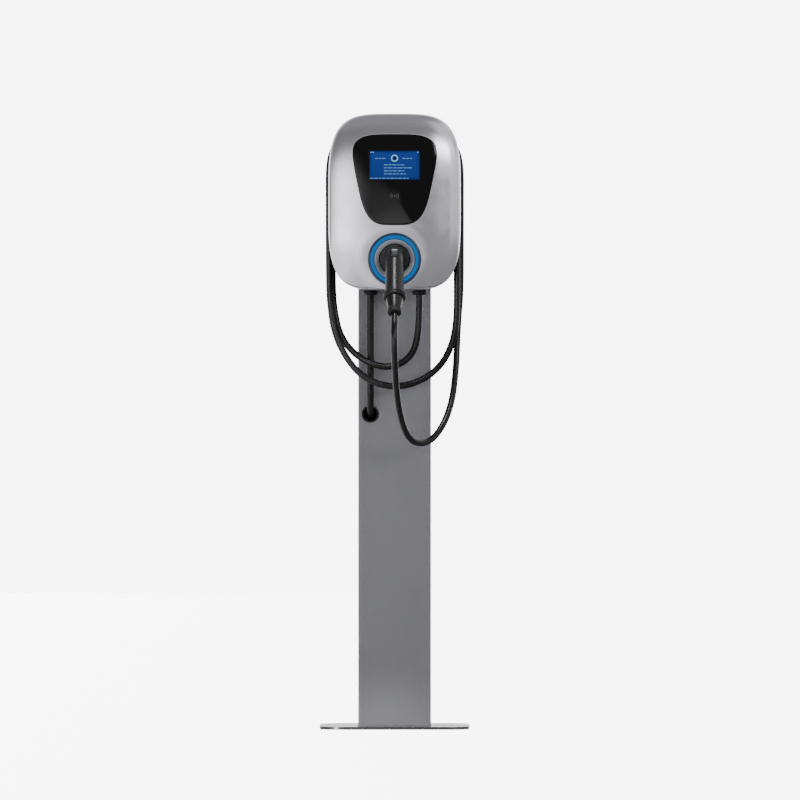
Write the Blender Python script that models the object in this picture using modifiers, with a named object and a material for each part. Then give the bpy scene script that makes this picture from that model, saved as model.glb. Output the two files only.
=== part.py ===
"""Charging post: a steel post on a base plate, carrying a domed head with a display,
a lit connector holster and a charging lead that is wound over the head.

Metres, +Z up. The origin is on the base plate's underside, in its middle. The front
faces -Y and +X is to the right as seen from the front.
"""

import math

import bmesh
import bpy
from mathutils import Matrix, Vector

MM = 0.001
GAP = 0.3 * MM

# Base plate and post
PLATE_X, PLATE_Y, PLATE_Z = 0.308, 0.250, 0.006
PLATE_CORNER = 0.050
ANCHOR_X, ANCHOR_Y, ANCHOR_RADIUS = 0.118, 0.090, 0.0065
ENTRY_Y, ENTRY_RADIUS = 0.030, 0.020
POST_X, POST_Y, POST_TOP = 0.150, 0.120, 1.185
POST_WALL, POST_EDGE = 0.003, 0.004
FOOT_BOLT_X, FOOT_BOLT_Y = 0.057, 0.030
ACCESS_Z, ACCESS_HALF_X, ACCESS_HALF_Z = 0.520, 0.045, 0.110

# Head, as half-widths and heights of the front view
HEAD_Z = 1.085
HEAD_HALF_X = 0.1352
HEAD_UP, HEAD_DOWN = 0.177, 0.185
HEAD_UP_POWER, HEAD_DOWN_POWER = 3.9, 4.1
COVER_BACK, COVER_SIDE = -0.1263, -0.160
COVER_WALL = 0.003
CROWN, EDGE_ROUND = 0.014, 0.026
DRUM_HALF_X, DRUM_LOW, DRUM_HIGH = 0.1198, 0.906, 1.212
DRUM_LOW_CORNER, DRUM_HIGH_CORNER = 0.060, 0.074
DRUM_BACK, DRUM_FRONT = -0.0699, -0.1237
DRUM_WALL = 0.003

# Display
GLASS_Z, GLASS_HALF_Z = 1.1262, 0.0925
GLASS_HALF_X, GLASS_TAPER, GLASS_POWER = 0.078, 0.019, 3.8
LCD_HALF_X, LCD_LOW, LCD_HIGH = 0.0515, 1.1286, 1.1874

# Holster and its light ring, whose plane faces forwards and a little down
RING_CENTRE = Vector((0, -0.1938, 0.963))
RING_TILT = math.radians(5)
RING_RADIUS, RING_INNER = 0.0535, 0.0413
RING_BLEND = 0.030
CUP_INNER, CUP_OUTER, CUP_DEPTH = 0.0312, 0.0337, 0.068
OUT = Vector((0, -math.cos(RING_TILT), -math.sin(RING_TILT)))
UP = Vector((0, -math.sin(RING_TILT), math.cos(RING_TILT)))

# Connector
NOSE_RADIUS, NOSE_WALL, NOSE_DEPTH = 0.027, 0.0025, 0.052
FLANGE_RADIUS = 0.0304
HANDLE_RISE, HANDLE_RADIUS, HANDLE_END_RADIUS = 0.008, 0.0182, 0.0195
HANDLE_LEAD, HANDLE_BEND, HANDLE_LENGTH = 0.016, 0.045, 0.0756
HANDLE_SLOPE = math.radians(53.1)
NUT_RADIUS, NUT_LENGTH = 0.0225, 0.0125
CONE_LENGTH, COLLAR_LENGTH, COLLAR_RADIUS = 0.025, 0.012, 0.014
BUTTON_ANGLE = math.radians(35)
BUTTON_LENGTH, BUTTON_WIDTH = 0.024, 0.014

# Cables and glands
CABLE_RADIUS, SUPPLY_RADIUS = 0.00675, 0.0073
CHARGE_GLAND = Vector((0.051, -0.106, DRUM_LOW))
SUPPLY_GLAND = Vector((-0.050, -0.086, DRUM_LOW))
GROMMET_Z, GROMMET_RADIUS = 0.647, 0.0175
SUPPLY_BEND = 0.060
BACK_LANE, FRONT_LANE = -90, -108

# The charging lead's route in millimetres: gland, first sweep under the head, up the
# left side, over the drum, second sweep, over again, and the right side of the last loop.
CHARGE_ROUTE = [
    (51, -106, 915), (51, -106, 890), (50.5, -106, 862), (48, -106, 815), (39.5, -106, 780),
    (24, -106, 759), (4, -106, 748), (-18, -106, 744.5), (-42, -106, 749), (-66, -104, 760),
    (-86, -101, 776), (-102, -98, 795), (-113.5, -95, 819), (-121, -92, 850), (-125.6, -90.5, 886),
    (-127, BACK_LANE, 930), (-127, BACK_LANE, 1000), (-127, BACK_LANE, 1080),
    (-127, BACK_LANE, 1150), (-121.5, BACK_LANE, 1182), (-108.5, -90, 1201.5),
    (-89, -90.5, 1214), (-64, -91.5, 1219.3), (-32, -94, 1219.3), (0, -99, 1219.3),
    (32, -104, 1219.3), (64, -106.5, 1219.3), (89, -107.5, 1214), (108.8, -108, 1201.5),
    (122, FRONT_LANE, 1182), (127.6, FRONT_LANE, 1150), (127.9, FRONT_LANE, 1080),
    (127.9, FRONT_LANE, 1000), (127.9, FRONT_LANE, 925), (127.5, -108, 862), (124.8, -109, 826),
    (119.5, -110, 799), (111.5, -111, 777), (101, -112, 757.5), (87.5, -113, 741),
    (71.5, -114, 727), (53, -115, 716.5), (33, -116, 709), (15, -116, 705.3), (-3, -116, 704.4),
    (-21, -116, 706.5), (-42, -115.5, 712.7), (-60, -115, 722), (-78, -114, 737),
    (-93.5, -113, 756), (-106.5, -112, 777.5), (-117.5, -111, 801.5), (-125.5, -110, 829),
    (-130.3, -109, 860), (-133.2, -108, 892), (-134.2, FRONT_LANE, 930),
    (-134.7, FRONT_LANE, 1000), (-134.7, FRONT_LANE, 1080), (-134.4, FRONT_LANE, 1145),
    (-128.5, FRONT_LANE, 1182), (-113.5, -108, 1206), (-92, -107.5, 1222), (-64, -106.5, 1229.3),
    (-32, -103.5, 1232.8), (0, -99, 1233.8), (32, -94.5, 1232.8), (64, -91.5, 1229.3),
    (92, -90.5, 1222), (114, -90, 1206), (129.3, BACK_LANE, 1182), (135.3, BACK_LANE, 1145),
    (135.8, BACK_LANE, 1080), (135.8, BACK_LANE, 1000), (135.6, BACK_LANE, 930),
    (134.2, BACK_LANE, 885), (131.4, BACK_LANE, 848), (129.3, -91, 812), (127.9, -94, 780),
    (126.2, -99, 748), (123.4, -106, 717), (118.8, -116, 684), (112, -127, 657),
    (103, -139, 633.5), (91, -154, 612.5), (76, -171, 596), (58, -190, 588),
]
# The lead's last drop, from the lowest point of the loop up to the connector's collar.
DROP_ROUTE = [
    (58, -190, 588), (41, -210, 591), (28.5, -229, 602), (20, -248, 618), (13.5, -266, 638),
    (8.5, -284, 661), (5, -301, 687), (2.2, -316, 716), (0.8, -326, 745), (-0.2, -331.5, 775),
    (-0.6, -333, 803), (-0.3, -328, 830),
]


# ---------------------------------------------------------------- scene and helpers

def clear_scene():
    for obj in list(bpy.data.objects):
        bpy.data.objects.remove(obj)


def collection(name):
    made = bpy.data.collections.new(name)
    bpy.context.scene.collection.children.link(made)
    return made


clear_scene()
POST = collection("ev_charging_post")
CUTTERS = collection("cutters")


def look(name, colour, roughness, metallic=0.0):
    """A Principled material in one colour."""
    material = bpy.data.materials.new(name)
    material.use_nodes = True
    shader = material.node_tree.nodes["Principled BSDF"]
    shader.inputs["Base Color"].default_value = (*colour, 1)
    shader.inputs["Roughness"].default_value = roughness
    shader.inputs["Metallic"].default_value = metallic
    return material


STAINLESS = ("brushed_stainless", (0.62, 0.62, 0.63), 0.3, 1.0)
ZINC = ("zinc", (0.55, 0.56, 0.58), 0.4, 1.0)
POST_GREY = ("post_paint", (0.21, 0.21, 0.225), 0.45, 0.3)
SILVER = ("silver_paint", (0.50, 0.49, 0.51), 0.35, 0.6)
BLACK = ("black_plastic", (0.015, 0.015, 0.017), 0.45, 0.0)
HANDLE_BLACK = ("handle_plastic", (0.02, 0.02, 0.022), 0.35, 0.0)
RUBBER = ("rubber", (0.012, 0.012, 0.013), 0.6, 0.0)
GLASS = ("black_glass", (0.005, 0.005, 0.006), 0.08, 0.0)
BLUE = ("blue_light", (0.04, 0.25, 0.62), 0.3, 0.0)
BOARD = ("board_green", (0.02, 0.16, 0.07), 0.5, 0.0)
DEVICE = ("device_grey", (0.45, 0.46, 0.46), 0.5, 0.0)
COPPER = ("contact_silver", (0.6, 0.56, 0.5), 0.3, 1.0)


def place(obj, finish):
    """Gives an object its own material and puts it in the object's collection."""
    obj.data.materials.clear()
    obj.data.materials.append(look(obj.name + "_" + finish[0], *finish[1:]))
    POST.objects.link(obj)
    return obj


def as_cutter(obj):
    CUTTERS.objects.link(obj)
    obj.hide_render = True
    obj.display_type = "WIRE"
    return obj


def mesh_object(name, bm):
    bmesh.ops.recalc_face_normals(bm, faces=bm.faces)
    data = bpy.data.meshes.new(name)
    bm.to_mesh(data)
    bm.free()
    return bpy.data.objects.new(name, data)


def box(name, low, high, bevel=0.0):
    low, high = Vector(low), Vector(high)
    bm = bmesh.new()
    size = Matrix.Diagonal((*(high - low), 1))
    bmesh.ops.create_cube(bm, size=1, matrix=Matrix.Translation((low + high) / 2) @ size)
    if bevel:
        bmesh.ops.bevel(bm, geom=bm.edges[:], offset=bevel, segments=2, affect="EDGES")
    return mesh_object(name, bm)


def rod(name, start, end, radius, end_radius=None, sides=16):
    """A cylinder, or a cone with its own end radius, between two points."""
    start, end = Vector(start), Vector(end)
    along = end - start
    turn = along.to_track_quat("Z", "Y").to_matrix().to_4x4()
    bm = bmesh.new()
    bmesh.ops.create_cone(
        bm,
        cap_ends=True,
        segments=sides,
        radius1=radius,
        radius2=radius if end_radius is None else end_radius,
        depth=along.length,
        matrix=Matrix.Translation((start + end) / 2) @ turn,
    )
    obj = mesh_object(name, bm)
    obj.data.shade_smooth()
    obj.data.set_sharp_from_angle(angle=math.radians(40))
    return obj


def turned(name, profile, origin, axis, steps=24):
    """Turns a closed (radius, height) profile about an axis through the origin point."""
    bm = bmesh.new()
    ring = [bm.verts.new((r, 0, h)) for r, h in profile]
    on_axis = profile[0][0] == 0 and profile[-1][0] == 0
    for a, b in zip(ring, ring[1:] if on_axis else ring[1:] + ring[:1]):
        bm.edges.new((a, b))
    data = bpy.data.meshes.new(name)
    bm.to_mesh(data)
    bm.free()
    obj = bpy.data.objects.new(name, data)
    screw = obj.modifiers.new("turn", "SCREW")
    screw.steps = screw.render_steps = steps
    screw.use_merge_vertices = True
    screw.merge_threshold = 0.00001
    screw.use_smooth_shade = True
    obj.location = origin
    obj.rotation_euler = Vector(axis).to_track_quat("Z", "Y").to_euler()
    return obj


def to_mesh(curve):
    """The curve object as a mesh object, with its caps welded on."""
    bpy.context.scene.collection.objects.link(curve)
    bpy.context.view_layer.update()
    graph = bpy.context.evaluated_depsgraph_get()
    data = bpy.data.meshes.new_from_object(curve.evaluated_get(graph))
    bm = bmesh.new()
    bm.from_mesh(data)
    bmesh.ops.remove_doubles(bm, verts=bm.verts, dist=0.00001)
    bm.transform(curve.matrix_world)
    bm.to_mesh(data)
    bm.free()
    name = curve.name
    bpy.data.objects.remove(curve)
    return bpy.data.objects.new(name, data)


def slab(name, loops, low, high, upright=True):
    """Flat loops with thickness: (x, z) loops between two y, or (x, y) loops between two z."""
    data = bpy.data.curves.new(name, "CURVE")
    data.dimensions = "2D"
    data.fill_mode = "BOTH"
    data.extrude = abs(high - low) / 2
    for loop in loops:
        spline = data.splines.new("POLY")
        spline.points.add(len(loop) - 1)
        for point, (u, v) in zip(spline.points, loop):
            point.co = (u, v, 0, 1)
        spline.use_cyclic_u = True
    curve = bpy.data.objects.new(name, data)
    middle = (low + high) / 2
    curve.location = (0, middle, 0) if upright else (0, 0, middle)
    curve.rotation_euler = (math.pi / 2 if upright else 0, 0, 0)
    return to_mesh(curve)


def tube(name, points, radius, resolution=2, radii=None):
    """A round tube along points, with filled caps."""
    data = bpy.data.curves.new(name, "CURVE")
    data.dimensions = "3D"
    data.bevel_depth = radius
    data.bevel_resolution = resolution
    data.use_fill_caps = True
    spline = data.splines.new("POLY")
    spline.points.add(len(points) - 1)
    for i, point in enumerate(points):
        spline.points[i].co = (*point, 1)
        spline.points[i].radius = radii[i] if radii else 1
    return bpy.data.objects.new(name, data)


def boolean(obj, cutter, operation="DIFFERENCE"):
    modifier = obj.modifiers.new(cutter.name, "BOOLEAN")
    modifier.operation = operation
    modifier.object = cutter


def circle(u, v, radius, sides=16):
    steps = [2 * math.pi * i / sides for i in range(sides)]
    return [(u + radius * math.cos(t), v + radius * math.sin(t)) for t in steps]


def rounded(half_width, low, high, low_corner, high_corner, steps=6):
    """A rectangle outline with round corners, centred on zero across."""
    corners = (
        (half_width - low_corner, low + low_corner, low_corner, -90),
        (half_width - high_corner, high - high_corner, high_corner, 0),
        (high_corner - half_width, high - high_corner, high_corner, 90),
        (low_corner - half_width, low + low_corner, low_corner, 180),
    )
    outline = []
    for u, v, radius, start in corners:
        for i in range(steps + 1):
            t = math.radians(start + 90 * i / steps)
            outline.append((u + radius * math.cos(t), v + radius * math.sin(t)))
    return outline


def smooth_points(route, spacing):
    """Points at an even spacing on the smooth curve through a route in millimetres."""
    knots = [Vector(p) * MM for p in route]
    knots = [2 * knots[0] - knots[1]] + knots + [2 * knots[-1] - knots[-2]]
    fine = []
    for a, b, c, d in zip(knots, knots[1:], knots[2:], knots[3:]):
        for i in range(16):
            t = i / 16
            fine.append(
                0.5 * (2 * b + (c - a) * t + (2 * a - 5 * b + 4 * c - d) * t**2
                       + (3 * b - a - 3 * c + d) * t**3)
            )
    fine.append(knots[-2])
    lengths = [0.0]
    for a, b in zip(fine, fine[1:]):
        lengths.append(lengths[-1] + (b - a).length)
    count = max(2, round(lengths[-1] / spacing))
    points, j = [], 0
    for i in range(count + 1):
        wanted = lengths[-1] * i / count
        while j < len(fine) - 2 and lengths[j + 1] < wanted:
            j += 1
        share = (wanted - lengths[j]) / (lengths[j + 1] - lengths[j])
        points.append(fine[j].lerp(fine[j + 1], share))
    return points


# ---------------------------------------------------------------- head surface

def head_outline(inset=0.0, sides=44):
    """The head's front outline: two superellipse halves that share their width."""
    outline = []
    for i in range(sides):
        t = 2 * math.pi * i / sides
        c, s = math.cos(t), math.sin(t)
        power = HEAD_UP_POWER if s >= 0 else HEAD_DOWN_POWER
        height = (HEAD_UP if s >= 0 else HEAD_DOWN) - inset
        reach = (abs(c) ** power + abs(s) ** power) ** (-1 / power)
        outline.append(((HEAD_HALF_X - inset) * c * reach, HEAD_Z + height * s * reach))
    return outline


def front_y(x, z, share):
    """The cover's front surface: share is 1 on the outline and 0 in the middle."""
    crown = CROWN * (1 - share**2.2)
    edge = EDGE_ROUND * (1 - min(share, 1) ** 10) ** (1 / 2.2)
    dome = COVER_SIDE - crown - edge
    plane = RING_CENTRE.y - math.tan(RING_TILT) * (z - RING_CENTRE.z)
    distance = math.hypot(x, z - RING_CENTRE.z)
    t = min(max((RING_RADIUS + RING_BLEND - distance) / RING_BLEND, 0), 1)
    blend = t * t * (3 - 2 * t)
    return dome + (plane - dome) * blend


def dome_object(name, recess, wall):
    """The cover's surface as a shell that is open at the back."""
    shares = (0.98, 0.94, 0.87, 0.76, 0.62, 0.46, 0.24)
    outline = head_outline()
    bm = bmesh.new()
    rings = [[bm.verts.new((x, COVER_BACK, z)) for x, z in outline]]
    for share in (1.0, *shares):
        ring = []
        for x, z in outline:
            px, pz = share * x, HEAD_Z + share * (z - HEAD_Z)
            ring.append(bm.verts.new((px, front_y(px, pz, share) + recess, pz)))
        rings.append(ring)
    for inner, outer in zip(rings[1:], rings):
        for i in range(len(outline)):
            j = (i + 1) % len(outline)
            bm.faces.new((outer[i], outer[j], inner[j], inner[i]))
    middle = bm.verts.new((0, front_y(0, HEAD_Z, 0) + recess, HEAD_Z))
    for i in range(len(outline)):
        bm.faces.new((rings[-1][i], rings[-1][(i + 1) % len(outline)], middle))
    obj = mesh_object(name, bm)
    obj.data.shade_smooth()
    skin = obj.modifiers.new("wall", "SOLIDIFY")
    skin.thickness = wall
    skin.offset = -1
    return obj


def glass_outline(inset=0.0, sides=36):
    """The display panel's outline: a superellipse that narrows towards the bottom."""
    outline = []
    for i in range(sides):
        t = 2 * math.pi * i / sides
        c, s = math.cos(t), math.sin(t)
        reach = (abs(c) ** GLASS_POWER + abs(s) ** GLASS_POWER) ** (-1 / GLASS_POWER)
        u, v = c * reach, s * reach
        x = u * (GLASS_HALF_X + GLASS_TAPER * v - inset)
        outline.append((x, GLASS_Z + v * (GLASS_HALF_Z - inset)))
    return outline


# ---------------------------------------------------------------- base and post

def base_plate():
    outline = rounded(PLATE_X / 2, -PLATE_Y / 2, PLATE_Y / 2, PLATE_CORNER, PLATE_CORNER, 8)
    holes = [circle(0, ENTRY_Y, ENTRY_RADIUS)]
    for sx in (-1, 1):
        for sy in (-1, 1):
            holes.append(circle(sx * ANCHOR_X, sy * ANCHOR_Y, ANCHOR_RADIUS, 12))
            holes.append(circle(sx * FOOT_BOLT_X, sy * FOOT_BOLT_Y, 0.0046, 8))
    plate = slab("base_plate", [outline, *holes], 0, PLATE_Z, upright=False)
    place(plate, STAINLESS)


def post_section(inset, corner):
    x, y = POST_X / 2 - inset, POST_Y / 2 - inset
    return rounded(x, -y, y, corner, corner, 3)


def post_column():
    section = [post_section(0, POST_EDGE), post_section(POST_WALL, 0.001)]
    post = slab("post_column", section, PLATE_Z + GAP, POST_TOP, upright=False)
    grommet = (SUPPLY_GLAND.x, GROMMET_Z, 0.016, 20)
    front = [circle(*grommet)]
    front += [circle(x, z, 0.0033, 8) for x, z in head_bolt_places()]
    for i, loop in enumerate(front):
        boolean(post, as_cutter(slab(f"post_front_hole_{i}", [loop], -0.070, -0.050)))
    opening = [(x, z + ACCESS_Z) for x, z in rounded(ACCESS_HALF_X, -0.1, 0.1, 0.006, 0.006, 2)]
    boolean(post, as_cutter(slab("access_opening", [opening], 0.050, 0.070)))
    for i, (x, z) in enumerate(access_screw_places()):
        boolean(post, as_cutter(slab(f"access_hole_{i}", [circle(x, z, 0.0028, 8)], 0.050, 0.070)))
    place(post, POST_GREY)


def post_top_cap():
    cap = slab("post_top_cap", [post_section(0, POST_EDGE)], POST_TOP + GAP, POST_TOP + 0.0043,
               upright=False)
    inner = post_section(POST_WALL + 0.0005, 0.001)
    plug = as_cutter(slab("cap_plug", [inner], POST_TOP - 0.012, POST_TOP + 0.002, upright=False))
    boolean(cap, plug, "UNION")
    place(cap, BLACK)


def foot():
    for name, side in (("foot_angle_left", -1), ("foot_angle_right", 1)):
        wall = POST_X / 2 - POST_WALL - GAP
        low = PLATE_Z + GAP
        section = [(wall, low), (wall, low + 0.040), (wall - 0.004, low + 0.040),
                   (wall - 0.004, low + 0.004), (wall - 0.028, low + 0.004), (wall - 0.028, low)]
        angle = slab(name, [[(side * x, z) for x, z in section]], -0.045, 0.045)
        for sy in (-1, 1):
            hole = rod(f"{name}_hole_{sy}", (side * FOOT_BOLT_X, sy * FOOT_BOLT_Y, 0),
                       (side * FOOT_BOLT_X, sy * FOOT_BOLT_Y, 0.020), 0.0046, sides=8)
            boolean(angle, as_cutter(hole))
        place(angle, ZINC)
    places = [(sx * FOOT_BOLT_X, sy * FOOT_BOLT_Y) for sx in (-1, 1) for sy in (-1, 1)]
    top = PLATE_Z + 0.004 + 2 * GAP
    for i, (x, y) in enumerate(places, 1):
        profile = [(0, top + 0.005), (0.0065, top + 0.005), (0.0065, top), (0.004, top),
                   (0.004, 0.001), (0, 0.001)]
        place(turned(f"foot_bolt_{i}", profile, (x, y, 0), (0, 0, 1), 8), ZINC)


def access_screw_places():
    x, z = ACCESS_HALF_X + 0.006, ACCESS_HALF_Z - 0.006
    return [(sx * x, ACCESS_Z + sz * z) for sx in (-1, 1) for sz in (-1, 1)]


def access_panel():
    back = POST_Y / 2 + GAP
    outline = rounded(ACCESS_HALF_X + 0.012, -ACCESS_HALF_Z, ACCESS_HALF_Z, 0.006, 0.006, 3)
    outline = [(x, z + ACCESS_Z) for x, z in outline]
    holes = [circle(x, z, 0.0028, 8) for x, z in access_screw_places()]
    place(slab("access_cover", [outline, *holes], back, back + 0.002), POST_GREY)
    for i, (x, z) in enumerate(access_screw_places(), 1):
        profile = [(0, 0.0045), (0.0025, 0.0045), (0.0048, 0.0025), (0.0048, 0.0023),
                   (0.0025, 0.0023), (0.0025, -0.006), (0, -0.006)]
        place(turned(f"access_screw_{i}", profile, (x, back, z), (0, 1, 0), 8), ZINC)


def junction_box():
    side = -(POST_X / 2 - POST_WALL - GAP)
    body = box("junction_box", (side, -0.034, 0.430), (side + 0.072, 0.034, 0.520), 0.003)
    hole = rod("junction_entry", (SUPPLY_GLAND.x, 0, 0.505), (SUPPLY_GLAND.x, 0, 0.530), 0.0079)
    boolean(body, as_cutter(hole))
    place(body, DEVICE)


def supply_grommet():
    face = Vector((SUPPLY_GLAND.x, -POST_Y / 2, GROMMET_Z))
    profile = [(0.0135, 0.0030), (0.0165, 0.0030), (GROMMET_RADIUS, 0.0018),
               (GROMMET_RADIUS, 0.0003), (0.0155, 0.0003), (0.0155, -0.0045), (0.0135, -0.0045)]
    place(turned("supply_grommet", profile, face, (0, -1, 0), 24), RUBBER)


def supply_route():
    """Down from the gland, then back through the grommet in an S of two arcs."""
    x, y = SUPPLY_GLAND.x, SUPPLY_GLAND.y
    turn = math.acos(1 + y / (2 * SUPPLY_BEND))
    at_wall = math.acos(1 - (-POST_Y / 2 - y) / SUPPLY_BEND)
    top = GROMMET_Z + SUPPLY_BEND * math.sin(at_wall)
    points = [Vector((x, y, z * MM)) for z in (915, 890, 860, 830, 800, 770, 740)]
    for i in range(9):
        t = turn * i / 8
        points.append(Vector((x, y + SUPPLY_BEND * (1 - math.cos(t)),
                              top - SUPPLY_BEND * math.sin(t))))
    foot_z = top - 2 * SUPPLY_BEND * math.sin(turn)
    for i in range(7, -1, -1):
        t = turn * i / 8
        points.append(Vector((x, -SUPPLY_BEND * (1 - math.cos(t)),
                              foot_z + SUPPLY_BEND * math.sin(t))))
    return points + [Vector((x, 0, 0.545)), Vector((x, 0, 0.508))]


def supply_cable():
    place(tube("supply_cable", supply_route(), SUPPLY_RADIUS), RUBBER)


# ---------------------------------------------------------------- head body

def head_bolt_places():
    return [(x, z) for x in (-0.045, 0.045) for z in (0.980, 1.130)]


def drum_outline(inset=0.0):
    return rounded(DRUM_HALF_X - inset, DRUM_LOW + inset, DRUM_HIGH - inset,
                   DRUM_LOW_CORNER - inset, DRUM_HIGH_CORNER - inset, 8)


def head_mount():
    holes = [circle(x, z, 0.0033, 8) for x, z in head_bolt_places()]
    bracket = rounded(0.060, 0.960, 1.150, 0.008, 0.008, 3)
    place(slab("head_bracket", [bracket, *holes], -0.0663, -0.0603), ZINC)
    plate = rounded(0.127, 0.916, 1.243, 0.075, 0.085, 8)
    place(slab("back_plate", [plate, *holes], -0.0696, -0.0666), BLACK)
    for i, (x, z) in enumerate(head_bolt_places(), 1):
        profile = [(0, 0.0045), (0.0060, 0.0045), (0.0060, 0.0003), (0.0030, 0.0003),
                   (0.0030, -0.022), (0, -0.022)]
        floor = (x, DRUM_BACK - DRUM_WALL, z)
        place(turned(f"head_bolt_{i}", profile, floor, (0, -1, 0), 8), ZINC)


def rear_housing():
    housing = slab("rear_housing", [drum_outline()], DRUM_FRONT, DRUM_BACK)
    hollow = slab("drum_hollow", [drum_outline(DRUM_WALL)], DRUM_FRONT - 0.01,
                  DRUM_BACK - DRUM_WALL)
    boolean(housing, as_cutter(hollow))
    for i, (x, z) in enumerate(head_bolt_places()):
        boolean(housing, as_cutter(slab(f"drum_hole_{i}", [circle(x, z, 0.0033, 8)],
                                        DRUM_BACK - 0.01, DRUM_BACK + 0.01)))
    for gland in (CHARGE_GLAND, SUPPLY_GLAND):
        hole = rod("gland_hole", gland - Vector((0, 0, 0.01)), gland + Vector((0, 0, 0.01)),
                   0.0103, sides=20)
        boolean(housing, as_cutter(hole))
    place(housing, BLACK)


def seal_and_frame():
    gasket = [drum_outline(0.0005), drum_outline(0.006)]
    place(slab("housing_gasket", gasket, DRUM_FRONT - 0.0023, DRUM_FRONT - GAP), RUBBER)
    back, front = DRUM_FRONT - 0.0026, DRUM_FRONT - 0.0056
    holes = [circle(x, z, 0.0023, 8) for x, z in cover_screw_places()]
    loops = [head_outline(COVER_WALL + 0.0005), drum_outline(0.008), *holes]
    place(slab("cover_frame", loops, front, back), BLACK)
    for i, (x, z) in enumerate(cover_screw_places(), 1):
        profile = [(0, 0.0030), (0.0025, 0.0030), (0.0042, 0.0012), (0.0042, 0.0003),
                   (0.0020, 0.0003), (0.0020, -0.010), (0, -0.010)]
        place(turned(f"cover_screw_{i}", profile, (x, back, z), (0, 1, 0), 8), ZINC)


def cover_screw_places():
    return [(-0.085, 1.229), (0.085, 1.229), (-0.1255, 1.060), (0.1255, 1.060)]


def front_cover():
    cover = dome_object("front_cover", 0, COVER_WALL)
    boolean(cover, as_cutter(slab("glass_opening", [glass_outline()], -0.230, -0.170)))
    mouth = rod("ring_opening", RING_CENTRE - 0.030 * OUT, RING_CENTRE + 0.030 * OUT,
                RING_RADIUS + GAP, sides=32)
    boolean(cover, as_cutter(mouth))
    place(cover, SILVER)


def display():
    glass = dome_object("display_glass", 0.0006, 0.0024)
    boolean(glass, as_cutter(slab("glass_shape", [glass_outline(0.0005)], -0.225, -0.165)),
            "INTERSECT")
    place(glass, GLASS)
    place(box("lcd_module", (-LCD_HALF_X - 0.004, -0.1895, LCD_LOW - 0.005),
              (LCD_HALF_X + 0.004, -0.1825, LCD_HIGH + 0.005)), DEVICE)
    place(box("reader_board", (-0.030, -0.1890, 1.064), (0.030, -0.1874, 1.120)), BOARD)


# ---------------------------------------------------------------- holster

def holster():
    """Turned parts about the holster's axis: heights run outwards from the ring's plane."""
    ring = [(RING_INNER, 0.0005), (0.043, 0.0018), (0.052, 0.0018), (RING_RADIUS, 0.0002),
            (RING_RADIUS, -0.006), (RING_INNER, -0.006)]
    place(turned("light_ring", ring, RING_CENTRE, OUT, 32), BLUE)
    board = [(0.042, -0.0065), (0.052, -0.0065), (0.052, -0.0080), (0.042, -0.0080)]
    place(turned("led_board", board, RING_CENTRE, OUT, 24), BOARD)
    bezel = [(0.0318, -0.0095), (0.0395, 0.0006), (0.0410, 0.0006), (0.0410, -0.0120),
             (0.0318, -0.0120)]
    place(turned("ring_bezel", bezel, RING_CENTRE, OUT, 32), SILVER)
    floor = -CUP_DEPTH
    cup = [(0, floor + 0.003), (CUP_INNER, floor + 0.003), (CUP_INNER, -0.0123),
           (0.0405, -0.0123), (0.0405, -0.0150), (CUP_OUTER, -0.0150), (CUP_OUTER, floor),
           (0, floor)]
    place(turned("holster_cup", cup, RING_CENTRE, OUT, 32), BLACK)


# ---------------------------------------------------------------- electronics

def electronics():
    back = DRUM_BACK - DRUM_WALL - GAP
    rail_front = back - 0.0075
    place(box("din_rail", (-0.100, rail_front, 0.995), (0.100, back, 1.030)), ZINC)
    front = rail_front - GAP
    place(box("contactor", (-0.085, front - 0.044, 0.968), (-0.040, front, 1.053), 0.002), DEVICE)
    place(box("residual_breaker", (0.040, front - 0.044, 0.968), (0.092, front, 1.053), 0.002),
          DEVICE)
    place(box("power_supply", (-0.090, -0.110, 1.085), (-0.056, back, 1.175), 0.002), DEVICE)
    place(box("main_board", (-0.050, -0.1140, 1.070), (0.100, -0.1124, 1.180)), BOARD)
    place(box("terminal_block", (-0.030, back - 0.025, 0.925), (0.030, back, 0.945)), DEVICE)


# ---------------------------------------------------------------- glands

def gland(name, spot, bore):
    """A cable gland: body through the drum's floor, and the dome nut under it."""
    body = [(bore, 0.0130), (0.0100, 0.0130), (0.0100, -GAP), (0.0155, -GAP),
            (0.0155, -0.0060), (bore, -0.0060)]
    place(turned(f"{name}_gland_body", body, spot, (0, 0, 1), 24), BLACK)
    nut = [(bore, -0.0063), (0.0148, -0.0063), (0.0148, -0.0110), (0.0120, -0.0145),
           (bore, -0.0145)]
    place(turned(f"{name}_gland_nut", nut, spot, (0, 0, 1), 12), BLACK)


# ---------------------------------------------------------------- connector

def handle_path():
    """Points down the handle's middle: out of the flange, round a bend, then straight."""
    start = RING_CENTRE + HANDLE_RISE * UP - (0.003 - GAP) * OUT
    bend_start = start + HANDLE_LEAD * OUT
    centre = bend_start - HANDLE_BEND * UP
    points = [start, start + 0.5 * HANDLE_LEAD * OUT]
    for i in range(9):
        t = RING_TILT + (HANDLE_SLOPE - RING_TILT) * i / 8
        points.append(centre + HANDLE_BEND * Vector((0, -math.sin(t), math.cos(t))))
    down = handle_down()
    last = points[-1]
    points += [last + HANDLE_LENGTH * share * down for share in (0.25, 0.5, 0.75, 1)]
    return points, centre


def handle_down():
    return Vector((0, -math.cos(HANDLE_SLOPE), -math.sin(HANDLE_SLOPE)))


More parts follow.
